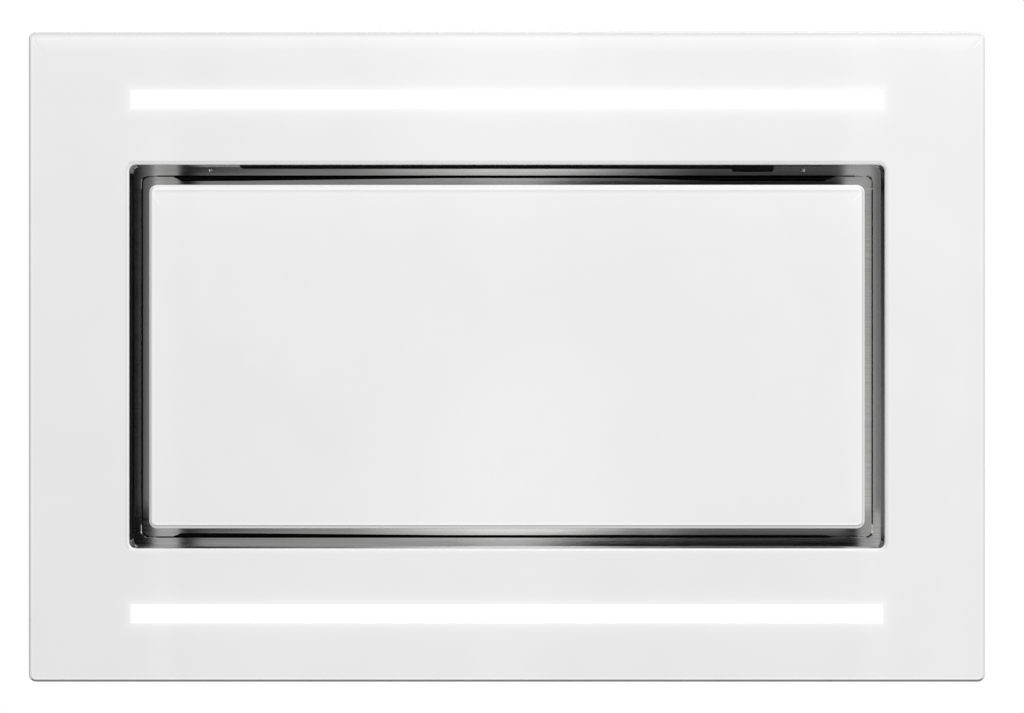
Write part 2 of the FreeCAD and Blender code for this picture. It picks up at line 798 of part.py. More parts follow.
def build_filters():
    """Left grease filter with its frame, mesh and latch, and its mirror image on the right."""
    place = "-filter_place"
    frame = new_body("left_filter_frame", x=place)
    sketch = new_sketch(frame, "XY_Plane", "filter_low")
    rectangle(sketch, "filter_width", "filter_depth", corner="filter_corner")
    rectangle(sketch, "filter_width - 2 * filter_rail", "filter_depth - 2 * filter_rail")
    pad(frame, sketch, "filter_thickness")
    # The rails are channels, open to the inside, that hold the mesh
    sketch = new_sketch(frame, "XY_Plane", "filter_low + filter_lip")
    rectangle(sketch, "mesh_width", "mesh_depth")
    pocket(frame, sketch, "filter_thickness - 2 * filter_lip")
    # The latch sits in a small pocket behind the front rail
    sketch = new_sketch(frame, "XY_Plane", "filter_low")
    front = "rail_inside - filter_groove"
    span(sketch, "-(pocket_side)", "pocket_side", front, "pocket_back")
    span(sketch, "-(pocket_side - pocket_wall)", "pocket_side - pocket_wall", "rail_inside", "pocket_back - pocket_wall")
    pad(frame, sketch, "filter_thickness")
    sketch = new_sketch(frame, "XY_Plane", "filter_low")
    span(sketch, "-(pocket_side)", "pocket_side", front, "pocket_back")
    slot_side = "latch_width / 2 + latch_clearance"
    span(sketch, f"-({slot_side})", slot_side, "stem_front - latch_clearance", "slot_back")
    pad(frame, sketch, "pocket_wall")
    # Two tongues at the back lie over the edge of the deck
    for side in ("", "-"):
        sketch = new_sketch(frame, "YZ_Plane", f"{side}tongue_spacing / 2")
        edge = "filter_hole_depth / 2 - tongue_clearance"
        inner = f"{edge} - tongue_gauge"
        tip = "filter_hole_depth / 2 + tongue_reach"
        level = "deck_top + tongue_clearance"
        contour(sketch, [
            (inner, "deck_low - filter_lip"), (edge, "deck_low - filter_lip"), (edge, level), (tip, level),
            (tip, f"{level} + tongue_gauge"), (inner, f"{level} + tongue_gauge")])
        pad(frame, sketch, "tongue_width", both_ways=True)
    publish("left_filter_frame", frame)
    publish("right_filter_frame", mirror(frame, ACROSS_X))

    mesh = new_body("left_filter_mesh", x=place)
    sketch = new_sketch(mesh, "XY_Plane", "filter_low + filter_lip")
    west, east = "-mesh_width / 2", "mesh_width / 2"
    south, north = "-mesh_depth / 2", "mesh_depth / 2"
    contour(sketch, [
        (west, south), ("-(pocket_side)", south), ("-(pocket_side)", "pocket_back"), ("pocket_side", "pocket_back"),
        ("pocket_side", south), (east, south), (east, north), (west, north)])
    pad(mesh, sketch, "filter_thickness - 2 * filter_lip")
    publish("left_filter_mesh", mesh)
    publish("right_filter_mesh", mirror(mesh, ACROSS_X))

    latch = new_body("left_filter_latch", x=place)
    sketch = new_sketch(latch, "YZ_Plane")
    stem_back = "stem_front + latch_stem"
    tip = "-filter_hole_depth / 2 - latch_reach"
    grip_top = "filter_low - latch_clearance"
    grip_low = f"{grip_top} - latch_grip"
    contour(sketch, [
        (f"stem_front - latch_grip_overhang", grip_low), (f"{stem_back} + latch_grip_overhang", grip_low),
        (f"{stem_back} + latch_grip_overhang", grip_top), (stem_back, grip_top),
        (stem_back, "bolt_low + latch_bolt"), (tip, "bolt_low + latch_bolt"),
        (tip, "bolt_low"), ("stem_front", "bolt_low"),
        ("stem_front", grip_top), ("stem_front - latch_grip_overhang", grip_top)])
    pad(latch, sketch, "latch_width", both_ways=True)
    low = number(grip_low)
    round_edges(latch, "latch_grip / 4", lambda edge: lies_at(edge, low))
    publish("left_filter_latch", latch)
    publish("right_filter_latch", mirror(latch, ACROSS_X))


def build_panel():
    """Glass panel with its stiffening tray, hinge arms, pins and strike plates."""
    glass = new_body("panel_glass")
    sketch = new_sketch(glass, "XY_Plane", "glass_low")
    rectangle(sketch, "panel_width", "panel_depth", corner="panel_corner")
    pad(glass, sketch, "glass_thickness")
    round_edges(glass, GROUND_EDGE, lambda edge: not is_upright(edge))
    publish("panel_glass", glass)

    bond = new_body("panel_bond")
    sketch = new_sketch(bond, "XY_Plane", "glass_back")
    rectangle(sketch, "pan_width + 2 * pan_flange", "pan_depth + 2 * pan_flange", corner="pan_corner")
    rectangle(sketch, "pan_width", "pan_depth", corner="pan_corner")
    pad(bond, sketch, "bond_thickness")
    publish("panel_bond", bond)

    pan = new_body("panel_pan")
    sketch = new_sketch(pan, "XY_Plane", "pan_low")
    rectangle(sketch, "pan_width", "pan_depth", corner="pan_corner")
    pad(pan, sketch, "pan_height")
    top = number("pan_top")
    round_edges(pan, "pan_edge", lambda edge: lies_at(edge, top))
    sketch = new_sketch(pan, "XY_Plane", "pan_low")
    rectangle(sketch, "pan_width + 2 * pan_flange", "pan_depth + 2 * pan_flange", corner="pan_corner")
    pad(pan, sketch, "sheet_gauge")
    sketch = new_sketch(pan, "XY_Plane", "pan_low")
    rectangle(sketch, "pan_width - 2 * sheet_gauge", "pan_depth - 2 * sheet_gauge", corner="pan_corner - sheet_gauge")
    pocket(pan, sketch, "pan_height - sheet_gauge")
    publish("panel_pan", pan)

    arm = new_body("panel_arm")
    place = "hinge_spacing / 2"
    sketch = new_sketch(arm, "YZ_Plane", place)
    span(sketch, "hinge_place - arm_length", "hinge_place", "pan_top", "pan_top + arm_gauge")
    pad(arm, sketch, "arm_width", both_ways=True)
    sketch = new_sketch(arm, "YZ_Plane", place)
    circle(sketch, "knuckle_radius", "hinge_place", "hinge_level")
    pad(arm, sketch, "arm_width", both_ways=True)
    sketch = new_sketch(arm, "YZ_Plane", place)
    circle(sketch, "pin_radius", "hinge_place", "hinge_level")
    pocket(arm, sketch, "arm_width", both_ways=True)
    group("panel_arms", [arm, mirror(arm, ACROSS_X)])

    pin = new_body("panel_pin")
    sketch = new_sketch(pin, "YZ_Plane", place)
    circle(sketch, "pin_radius", "hinge_place", "hinge_level")
    pad(pin, sketch, "2 * (cheek_inside + cheek_gauge)", both_ways=True)
    group("panel_pins", [pin, mirror(pin, ACROSS_X)])

    strike = new_body("panel_strike", x="catch_spacing / 2", z="pan_top")
    sketch = new_sketch(strike, "XY_Plane")
    rectangle(sketch, "strike_width", "strike_length", y="catch_place - strike_overhang + strike_length / 2",
              corner="strike_gauge")
    pad(strike, sketch, "strike_gauge")
    group("panel_strikes", [strike, mirror(strike, ACROSS_X)])

    bracket = new_body("hinge_bracket", x=place)
    sketch = new_sketch(bracket, "XZ_Plane", "hinge_place")
    end = "hinge_level - cheek_below"
    folded(sketch, [
        ("-(cheek_inside)", end), ("-(cheek_inside)", "deck_low - cheek_gauge"),
        ("cheek_inside", "deck_low - cheek_gauge"), ("cheek_inside", end)], "cheek_gauge")
    pad(bracket, sketch, "cheek_depth", both_ways=True)
    tip = number(end)

    def on_cheek_end(edge):
        box = edge.BoundBox
        across = box.YLength < 1e-4 and box.ZLength < 1e-4
        return across and abs(box.ZMin - tip) < 1e-4

    round_edges(bracket, "cheek_corner", on_cheek_end)
    sketch = new_sketch(bracket, "YZ_Plane")
    circle(sketch, "pin_radius + pin_clearance", "hinge_place", "hinge_level")
    pocket(bracket, sketch, "4 * cheek_inside", both_ways=True)
    group("hinge_brackets", [bracket, mirror(bracket, ACROSS_X)])

    magnet = new_body("catch_magnet", x="catch_spacing / 2", y="catch_place", z="strike_top")
    sketch = new_sketch(magnet, "XY_Plane")
    circle(sketch, "magnet_radius")
    pad(magnet, sketch, "magnet_height")
    group("catch_magnets", [magnet, mirror(magnet, ACROSS_X)])

    holder = new_body("catch_holder", x="catch_spacing / 2", y="catch_place")
    sketch = new_sketch(holder, "YZ_Plane")
    folded(sketch, [
        ("holder_flange / 2", "deck_low"), ("-holder_flange / 2", "deck_low"),
        ("-holder_flange / 2", "magnet_top"), ("holder_flange / 2", "magnet_top")], "holder_gauge")
    pad(holder, sketch, "holder_width", both_ways=True)
    group("catch_holders", [holder, mirror(holder, ACROSS_X)])


def build_casing():
    """Galvanised casing of four folded walls and a top plate, with its hangers."""
    wall_top = "casing_height - sheet_gauge"
    front = new_body("casing_front")
    sketch = new_sketch(front, "YZ_Plane")
    outside, inside = "-casing_depth / 2", "casing_flange - casing_depth / 2"
    folded(sketch, [(inside, wall_top), (outside, wall_top), (outside, "carrier_top"), (inside, "carrier_top")],
           "sheet_gauge")
    pad(front, sketch, "casing_width", both_ways=True)
    # The flanges stop where the short walls stand
    sketch = new_sketch(front, "XY_Plane", "carrier_top")
    corner = "sheet_gauge + bend_radius"
    for side in ("", "-"):
        ends = (f"casing_width / 2 - ({corner})", "casing_width / 2")
        if side:
            ends = tuple(f"-({end})" for end in reversed(ends))
        span(sketch, *ends, f"{outside} + sheet_gauge", inside)
    pocket(front, sketch, "casing_height - carrier_top")
    publish("casing_front", front)
    publish("casing_rear", mirror(front, ACROSS_Y))

    left = new_body("casing_left")
    sketch = new_sketch(left, "XZ_Plane")
    outside, inside = "-casing_width / 2", "casing_flange - casing_width / 2"
    folded(sketch, [(inside, wall_top), (outside, wall_top), (outside, "carrier_top"), (inside, "carrier_top")],
           "sheet_gauge")
    pad(left, sketch, "casing_inside_depth", both_ways=True)
    # The flanges stop short of those on the long walls
    sketch = new_sketch(left, "XY_Plane", "carrier_top")
    web = f"{outside} + sheet_gauge + bend_radius"
    for side in ("", "-"):
        ends = ("casing_depth / 2 - casing_flange", "casing_depth / 2")
        if side:
            ends = tuple(f"-({end})" for end in reversed(ends))
        span(sketch, web, inside, *ends)
    pocket(left, sketch, "casing_height - carrier_top")
    # A strip turned in at each end is fastened to the long wall
    for side in ("", "-"):
        sketch = new_sketch(left, "XY_Plane", "deck_low + deck_rim + sheet_gauge")
        ends = ("casing_inside_depth / 2 - sheet_gauge", "casing_inside_depth / 2")
        if side:
            ends = tuple(f"-({end})" for end in reversed(ends))
        span(sketch, outside, inside, *ends)
        pad(left, sketch, "casing_height - deck_low - deck_rim - 4 * sheet_gauge")
    publish("casing_left", left)
    publish("casing_right", mirror(left, ACROSS_X))

    top = new_body("casing_top")
    sketch = new_sketch(top, "XY_Plane", wall_top)
    rectangle(sketch, "casing_width", "casing_depth", corner="bend_radius + sheet_gauge")
    circle(sketch, "inlet_radius + inlet_flare", "fan_x", "fan_y")
    pad(top, sketch, "sheet_gauge")
    publish("casing_top", top)

    hanger = new_body("hanger_bracket", y="hanger_spacing / 2")
    sketch = new_sketch(hanger, "XZ_Plane")
    wall = "casing_width / 2"
    folded(sketch, [
        (f"{wall} + hanger_leg", "hanger_level"), (wall, "hanger_level"), (wall, "hanger_level - hanger_drop")],
        "hanger_gauge")
    pad(hanger, sketch, "hanger_width", both_ways=True)
    far, foot = number(f"{wall} + hanger_leg"), number("hanger_level - hanger_drop")

    def on_free_corner(edge):
        box = edge.BoundBox
        outer = is_upright(edge) and abs(box.XMin - far) < 1e-4
        lower = box.YLength < 1e-4 and box.ZLength < 1e-4 and abs(box.ZMin - foot) < 1e-4
        return outer or lower

    round_edges(hanger, "hanger_corner", on_free_corner)
    sketch = new_sketch(hanger, "XY_Plane", "hanger_level - 2 * hanger_gauge")
    circle(sketch, "hanger_hole", f"{wall} + hanger_reach")
    pocket(hanger, sketch, "4 * hanger_gauge")
    rear = [hanger, mirror(hanger, ACROSS_X)]
    group("hanger_brackets", rear + [mirror(piece, ACROSS_Y) for piece in rear])


def scroll_edges(offset):
    """Return the scroll's line from outlet to outlet, moved away from the air by offset.

    Four quarter arcs about the corners of a small square make the spiral. It widens the way the
    impeller turns and leaves along +Y; the tongue is an arc between its start and the outlet's side.
    """
    step, reach = number("scroll_growth"), number("scroll_reach")
    outlet, side, tip = number("scroll_outlet"), number("tongue_place"), number("tongue_radius")
    half = step / 2
    centres = [V(half, half, 0), V(half, -half, 0), V(-half, -half, 0), V(-half, half, 0)]
    radii = [reach + offset - step * quarter for quarter in range(4)]
    ways = [V(1, 0, 0), V(0, -1, 0), V(-1, 0, 0), V(0, 1, 0)]
    rise = math.sqrt((radii[3] - offset + tip) ** 2 - (side - tip + half) ** 2)
    tip_centre = V(side - tip, half + rise, 0)
    tip_way = (tip_centre - centres[3]).normalize()
    start = centres[0] + ways[0] * radii[0]
    edges = [Part.LineSegment(V(start.x, outlet, 0), start)]
    stops = [ways[1], ways[2], ways[3], tip_way]
    for centre, radius, begin, end in zip(centres, radii, ways, stops):
        middle = (begin + end).normalize()
        edges.append(Part.Arc(centre + begin * radius, centre + middle * radius, centre + end * radius))
    tip_radius = tip - offset
    bend = (V(1, 0, 0) - tip_way).normalize()
    side_point = tip_centre + V(1, 0, 0) * tip_radius
    edges.append(Part.Arc(tip_centre - tip_way * tip_radius, tip_centre + bend * tip_radius, side_point))
    edges.append(Part.LineSegment(side_point, V(side_point.x, outlet, 0)))
    return [edge.toShape() for edge in edges]


def ends_of(edges):
    """Return the first and last point of a line from outlet to outlet."""
    return edges[0].Vertexes[0].Point, edges[-1].Vertexes[-1].Point


def place_scroll_piece(label, shape, level):
    """Set a scroll piece on the fan's centre, turned so that the outlet faces +X."""
    piece = doc.addObject("Part::Feature", label)
    piece.Shape = shape
    turned = FreeCAD.Rotation(V(0, 0, 1), -90)
    piece.Placement = FreeCAD.Placement(V(number("fan_x"), number("fan_y"), number(level)), turned)
    return publish(label, piece)


def build_scroll():
    """Scroll housing: a spiral wrap between a base with the inlet and a lid with the motor's hole."""
    gauge = number("scroll_gauge")
    inner, outer = scroll_edges(0), scroll_edges(gauge)
    (inner_start, inner_end), (outer_start, outer_end) = ends_of(inner), ends_of(outer)
    caps = [Part.LineSegment(inner_start, outer_start).toShape(), Part.LineSegment(inner_end, outer_end).toShape()]
    wire = Part.Wire(Part.__sortEdges__(inner + outer + caps))
    wrap = Part.Face(wire).extrude(V(0, 0, number("scroll_height")))
    place_scroll_piece("scroll_wrap", wrap, "wrap_low")

    rim = scroll_edges(gauge + number("scroll_lip"))
    start, end = ends_of(rim)
    plate = Part.Face(Part.Wire(Part.__sortEdges__(rim + [Part.LineSegment(end, start).toShape()])))
    plate = plate.extrude(V(0, 0, gauge))
    up = V(0, 0, 1)
    eye = Part.makeCylinder(number("inlet_radius + inlet_wall"), 4 * gauge, V(0, 0, -gauge), up)
    place_scroll_piece("scroll_base", plate.cut(eye), "scroll_low")

    holes = [Part.makeCylinder(number("motor_hole"), 4 * gauge, V(0, 0, -gauge), up)]
    count = round(number("screw_count"))
    for index in range(count):
        way = FreeCAD.Rotation(up, 360 * index / count).multVec(V(number("screw_circle"), 0, -gauge))
        holes.append(Part.makeCylinder(number("screw_radius + screw_clearance"), 4 * gauge, way, up))
    place_scroll_piece("scroll_lid", plate.cut(holes), "wrap_top")


def build_impeller():
    """Forward-curved impeller, the motor that drives it from its middle and the inlet ring below it."""
    fan = {"x": "fan_x", "y": "fan_y"}
    ring = new_body("inlet_ring", z="casing_height", **fan)
    sketch = new_sketch(ring, "XZ_Plane")
    lip = "impeller_low - casing_height - inlet_clearance"
    contour(sketch, [
        ("inlet_radius + inlet_flare", "0", "inlet_flare", -1), ("inlet_radius", "inlet_flare"),
        ("inlet_radius", lip), ("inlet_radius + inlet_wall", lip),
        ("inlet_radius + inlet_wall", "inlet_height"), ("inlet_flange", "inlet_height"), ("inlet_flange", "0")])
    revolve(ring, sketch)
    publish("inlet_ring", ring)

    wheel = new_body("impeller", z="impeller_low", **fan)
    sketch = new_sketch(wheel, "XY_Plane", "impeller_height - impeller_gauge")
    circle(sketch, "impeller_radius")
    circle(sketch, "cup_radius")
    pad(wheel, sketch, "impeller_gauge")
    sketch = new_sketch(wheel, "XY_Plane")
    blade_section(sketch)
    blade = pad(wheel, sketch, "impeller_height - impeller_gauge")
    repeat_round(wheel, [blade], "blade_count")
    sketch = new_sketch(wheel, "XY_Plane")
    circle(sketch, "impeller_radius")
    circle(sketch, "impeller_eye")
    pad(wheel, sketch, "impeller_gauge")
    publish("impeller", wheel)

    cup = new_body("rotor_cup", z="cup_low", **fan)
    sketch = new_sketch(cup, "XZ_Plane")
    bore = "cup_radius - cup_wall"
    rim_low = "cup_height - cup_flange_gauge"
    contour(sketch, [
        ("shaft_radius", "0"), ("cup_radius - cup_wall", "0", "cup_wall", 1), ("cup_radius", "cup_wall"),
        ("cup_radius", rim_low), ("cup_radius + cup_flange", rim_low), ("cup_radius + cup_flange", "cup_height"),
        (bore, "cup_height"), (bore, "cup_wall"), ("shaft_radius", "cup_wall")])
    revolve(cup, sketch)
    publish("rotor_cup", cup)

    shaft = new_body("motor_shaft", **fan)
    sketch = new_sketch(shaft, "XY_Plane", "cup_low - shaft_tail")
    circle(sketch, "shaft_radius")
    pad(shaft, sketch, "mount_low - cup_low + shaft_tail")
    publish("motor_shaft", shaft)


def blade_section(sketch):
    """Draw one blade: an arc that leaves the eye radially and leans forward to the rim."""
    eye, rim, curve = number("impeller_eye"), number("impeller_radius"), number("blade_curve")
    gauge = number("blade_gauge")
    centre = V(eye, curve, 0)
    reach = centre.Length
    facing = math.atan2(centre.y, centre.x)

    def meets(radius, circle_radius):
        # Angle about the blade's centre where the blade's arc crosses a circle round the fan's axis
        cosine = (circle_radius ** 2 - reach ** 2 - radius ** 2) / (2 * reach * radius)
        return facing - math.acos(cosine)

    radii = (curve + gauge / 2, curve - gauge / 2)
    arcs = [Part.ArcOfCircle(Part.Circle(centre, V(0, 0, 1), r), meets(r, eye), meets(r, rim)) for r in radii]
    sketch.addGeometry(arcs, False)
    sketch.addGeometry([Part.LineSegment(arcs[0].EndPoint, arcs[1].EndPoint),
                        Part.LineSegment(arcs[1].StartPoint, arcs[0].StartPoint)], False)
    sketch.addConstraint([
        Sketcher.Constraint("Coincident", 0, 3, 1, 3), Sketcher.Constraint("Coincident", 0, 2, 2, 1),
        Sketcher.Constraint("Coincident", 2, 2, 1, 2), Sketcher.Constraint("Coincident", 1, 1, 3, 1),
        Sketcher.Constraint("Coincident", 3, 2, 0, 1)])
    limits = [("DistanceX", (-1, 1, 0, 3), "impeller_eye"), ("DistanceY", (-1, 1, 0, 3), "blade_curve"),
              ("Radius", (0,), "blade_curve + blade_gauge / 2"), ("Radius", (1,), "blade_curve - blade_gauge / 2")]
    for arc in (0, 1):
        limits.append(("Distance", (-1, 1, arc, 1), "impeller_eye"))
        limits.append(("Distance", (-1, 1, arc, 2), "impeller_radius"))
    bind(sketch, limits)


def build_motor():
    """Fixed half of the external-rotor motor, its rubber mounts, cap and run capacitor."""
    fan = {"x": "fan_x", "y": "fan_y"}
    mount = new_body("motor_mount", z="mount_low", **fan)
    sketch = new_sketch(mount, "XZ_Plane")
    contour(sketch, [
        ("bearing_radius", "-tube_length"), ("tube_radius", "-tube_length"), ("tube_radius", "0"),
        ("mount_radius", "0"), ("mount_radius", "mount_gauge"), ("bearing_radius", "mount_gauge")])
    revolve(mount, sketch)
    sketch = new_sketch(mount, "XY_Plane")
    circle(sketch, "screw_radius + screw_clearance", "screw_circle")
    hole = pocket(mount, sketch, "mount_gauge")
    repeat_round(mount, [hole], "screw_count")
    publish("motor_mount", mount)

    dampers = new_body("motor_dampers", z="lid_top", **fan)
    sketch = new_sketch(dampers, "XY_Plane")
    circle(sketch, "damper_radius", "screw_circle")
    circle(sketch, "screw_radius + screw_clearance", "screw_circle")
    repeat_round(dampers, [pad(dampers, sketch, "damper_height")], "screw_count")
    publish("motor_dampers", dampers)

    screws = new_body("motor_screws", z="mount_top", **fan)
    sketch = new_sketch(screws, "XY_Plane")
    circle(sketch, "screw_head", "screw_circle")
    head = pad(screws, sketch, "screw_head_height")
    top = number("screw_head_height")
    rounded = round_edges(screws, "screw_head_height / 2", lambda edge: lies_at(edge, top))
    sketch = new_sketch(screws, "XY_Plane")
    circle(sketch, "screw_radius", "screw_circle")
    shank = pad(screws, sketch, "screw_length", backward=True)
    repeat_round(screws, [head, rounded, shank], "screw_count")
    publish("motor_screws", screws)

    bearings = new_body("motor_bearings", **fan)
    sketch = new_sketch(bearings, "XY_Plane", "mount_low - tube_length + bearing_inset")
    circle(sketch, "bearing_radius")
    circle(sketch, "shaft_radius + shaft_clearance")
    race = pad(bearings, sketch, "bearing_width")
    repeat_along(bearings, [race], "Z_Axis", "tube_length - 2 * bearing_inset - bearing_width", "2")
    publish("motor_bearings", bearings)

    stator = new_body("motor_stator", z="mount_low - stator_drop - stator_height", **fan)
    sketch = new_sketch(stator, "XY_Plane")
    circle(sketch, "stator_radius")
    circle(sketch, "tube_radius")
    pad(stator, sketch, "stator_height")
    sketch = new_sketch(stator, "XY_Plane")
    deep = "stator_radius - stator_slot_depth"
    span(sketch, deep, "stator_radius + air_gap", "-stator_slot_width / 2", "stator_slot_width / 2")
    slot = pocket(stator, sketch, "stator_height")
    repeat_round(stator, [slot], "stator_slots")
    publish("motor_stator", stator)

    cap = new_body("motor_cap", z="mount_top", **fan)
    sketch = new_sketch(cap, "XZ_Plane")
    bore = "cap_radius - cap_wall"
    shoulder = "cap_height - cap_edge"
    ceiling = "cap_height - cap_wall"
    contour(sketch, [
        (bore, "0"), ("cap_radius", "0"), ("cap_radius", shoulder, "cap_edge", 1),
        ("cap_radius - cap_edge", "cap_height"), ("0", "cap_height"), ("0", ceiling),
        ("cap_radius - cap_edge", ceiling, "cap_edge - cap_wall", -1), (bore, shoulder)])
    revolve(cap, sketch)
    sketch = new_sketch(cap, "XY_Plane", "cap_height - 2 * cap_wall")
    half = "cap_slot_width / 2"
    span(sketch, "cap_slot_inner", "cap_slot_outer", f"-{half}", half)
    slot = pocket(cap, sketch, "4 * cap_wall")
    repeat_round(cap, [slot], "cap_slots")
    publish("motor_cap", cap)

    # The capacitor lies on the lid beside the motor
    capacitor = new_body("run_capacitor", x="fan_x", y="fan_y + capacitor_offset", z="lid_top + capacitor_radius")
    sketch = new_sketch(capacitor, "YZ_Plane")
    circle(sketch, "capacitor_radius")
    pad(capacitor, sketch, "capacitor_length", both_ways=True)
    round_edges(capacitor, "capacitor_edge", lambda edge: is_circle(edge, number("capacitor_radius")))
    publish("run_capacitor", capacitor)
    clip = new_body("capacitor_clip", x="fan_x", y="fan_y + capacitor_offset", z="lid_top + capacitor_radius")
    sketch = new_sketch(clip, "YZ_Plane")
    outer = "capacitor_radius + clip_gauge"
    inner = "capacitor_radius"
    foot = f"{outer} + clip_foot"
    low, tread = "-capacitor_radius", "clip_gauge - capacitor_radius"
    contour(sketch, [
        (f"-({foot})", low), (f"-({inner})", low), (f"-({inner})", "0", inner, -1), ("0", inner, inner, -1),
        (inner, "0"), (inner, low), (foot, low), (foot, tread), (outer, tread),
        (outer, "0", outer, 1), ("0", outer, outer, 1), (f"-({outer})", "0"), (f"-({outer})", tread),
        (f"-({foot})", tread)])
    pad(clip, sketch, "clip_width", both_ways=True)
    publish("capacitor_clip", clip)


def build_outlet():
    """Square-to-round adapter, the duct collar and its two flaps on one rod."""
    adapter = new_body("outlet_adapter", x="adapter_start", y="outlet_place", z="outlet_level")
    wide, tall, middle = "outlet_width", "scroll_height", "scroll_middle - outlet_level"
    skin = "2 * adapter_wall"
    end = "adapter_flange + adapter_length"
    first = new_sketch(adapter, "YZ_Plane")
    rectangle(first, f"{wide} + {skin}", f"{tall} + {skin}", y=middle)
    last = new_sketch(adapter, "YZ_Plane", end)
    quartered_circle(last, "collar_radius")
    loft(adapter, [first, last])
    sketch = new_sketch(adapter, "YZ_Plane")
    lip = "2 * adapter_lip"
    rectangle(sketch, f"{wide} + {lip}", f"{tall} + {lip}", y=middle, corner="adapter_flange")
    pad(adapter, sketch, "adapter_flange")
    sketch = new_sketch(adapter, "YZ_Plane", end)
    circle(sketch, "collar_radius + collar_rim")
    pad(adapter, sketch, "adapter_flange", backward=True)
    first = new_sketch(adapter, "YZ_Plane")
    rectangle(first, wide, tall, y=middle)
    last = new_sketch(adapter, "YZ_Plane", end)
    quartered_circle(last, "collar_bore")
    loft(adapter, [first, last], cut=True)
    publish("outlet_adapter", adapter)

    collar = new_body("outlet_collar", x="collar_start", y="outlet_place", z="outlet_level")
    sketch = new_sketch(collar, "XY_Plane")
    length = "collar_flange + collar_length"
    stop = "collar_flange + rod_setback - flap_gauge"
    contour(sketch, [
        ("0", "collar_bore"), (f"{stop} - stop_gauge", "collar_bore"),
        (f"{stop} - stop_gauge", "collar_bore - stop_height"), (stop, "collar_bore - stop_height"),
        (stop, "collar_bore"), (length, "collar_bore"), (length, "collar_radius"),
        ("collar_flange", "collar_radius"), ("collar_flange", "collar_radius + collar_rim"),
        ("0", "collar_radius + collar_rim")])
    revolve(collar, sketch, "H_Axis")
    sketch = new_sketch(collar, "XY_Plane")
    circle(sketch, "rod_radius", "collar_flange + rod_setback")
    pocket(collar, sketch, "4 * collar_radius", both_ways=True)
    publish("outlet_collar", collar)

    rod = new_body("flap_rod", x="rod_place", y="outlet_place", z="outlet_level")
    sketch = new_sketch(rod, "XY_Plane")
    circle(sketch, "rod_radius")
    pad(rod, sketch, "2 * (collar_radius - rod_inset)", both_ways=True)
    publish("flap_rod", rod)

    build_flap("left_flap", 0)
    build_flap("right_flap", 180)


def build_flap(label, roll):
    """One half-round flap with two barrels on the rod; the other flap is the same piece turned over."""
    flap = new_body(label, x="rod_place", y="outlet_place", z="outlet_level")
    flap.Placement.Rotation = FreeCAD.Rotation(V(1, 0, 0), roll)
    sketch = new_sketch(flap, "YZ_Plane")
    edge = "flap_parting"
    tall = "sqrt(flap_radius ^ 2 - flap_parting ^ 2)"
    contour(sketch, [
        (edge, f"-{tall}", "flap_radius", 1), ("flap_radius", "0", "flap_radius", 1), (edge, tall)])
    pad(flap, sketch, "flap_gauge", both_ways=True)
    barrels = (("-barrel_far - barrel_length", "-barrel_far"), ("barrel_near", "barrel_near + barrel_length"))
    for low, high in barrels:
        sketch = new_sketch(flap, "YZ_Plane")
        span(sketch, "rod_radius", "flap_parting", low, high)
        pad(flap, sketch, "flap_gauge", both_ways=True)
        sketch = new_sketch(flap, "XY_Plane", low)
        circle(sketch, "barrel_radius")
        pad(flap, sketch, "barrel_length")
    sketch = new_sketch(flap, "XY_Plane")
    circle(sketch, "rod_radius + rod_clearance")
    pocket(flap, sketch, "2 * collar_radius", both_ways=True)
    publish(label, flap)


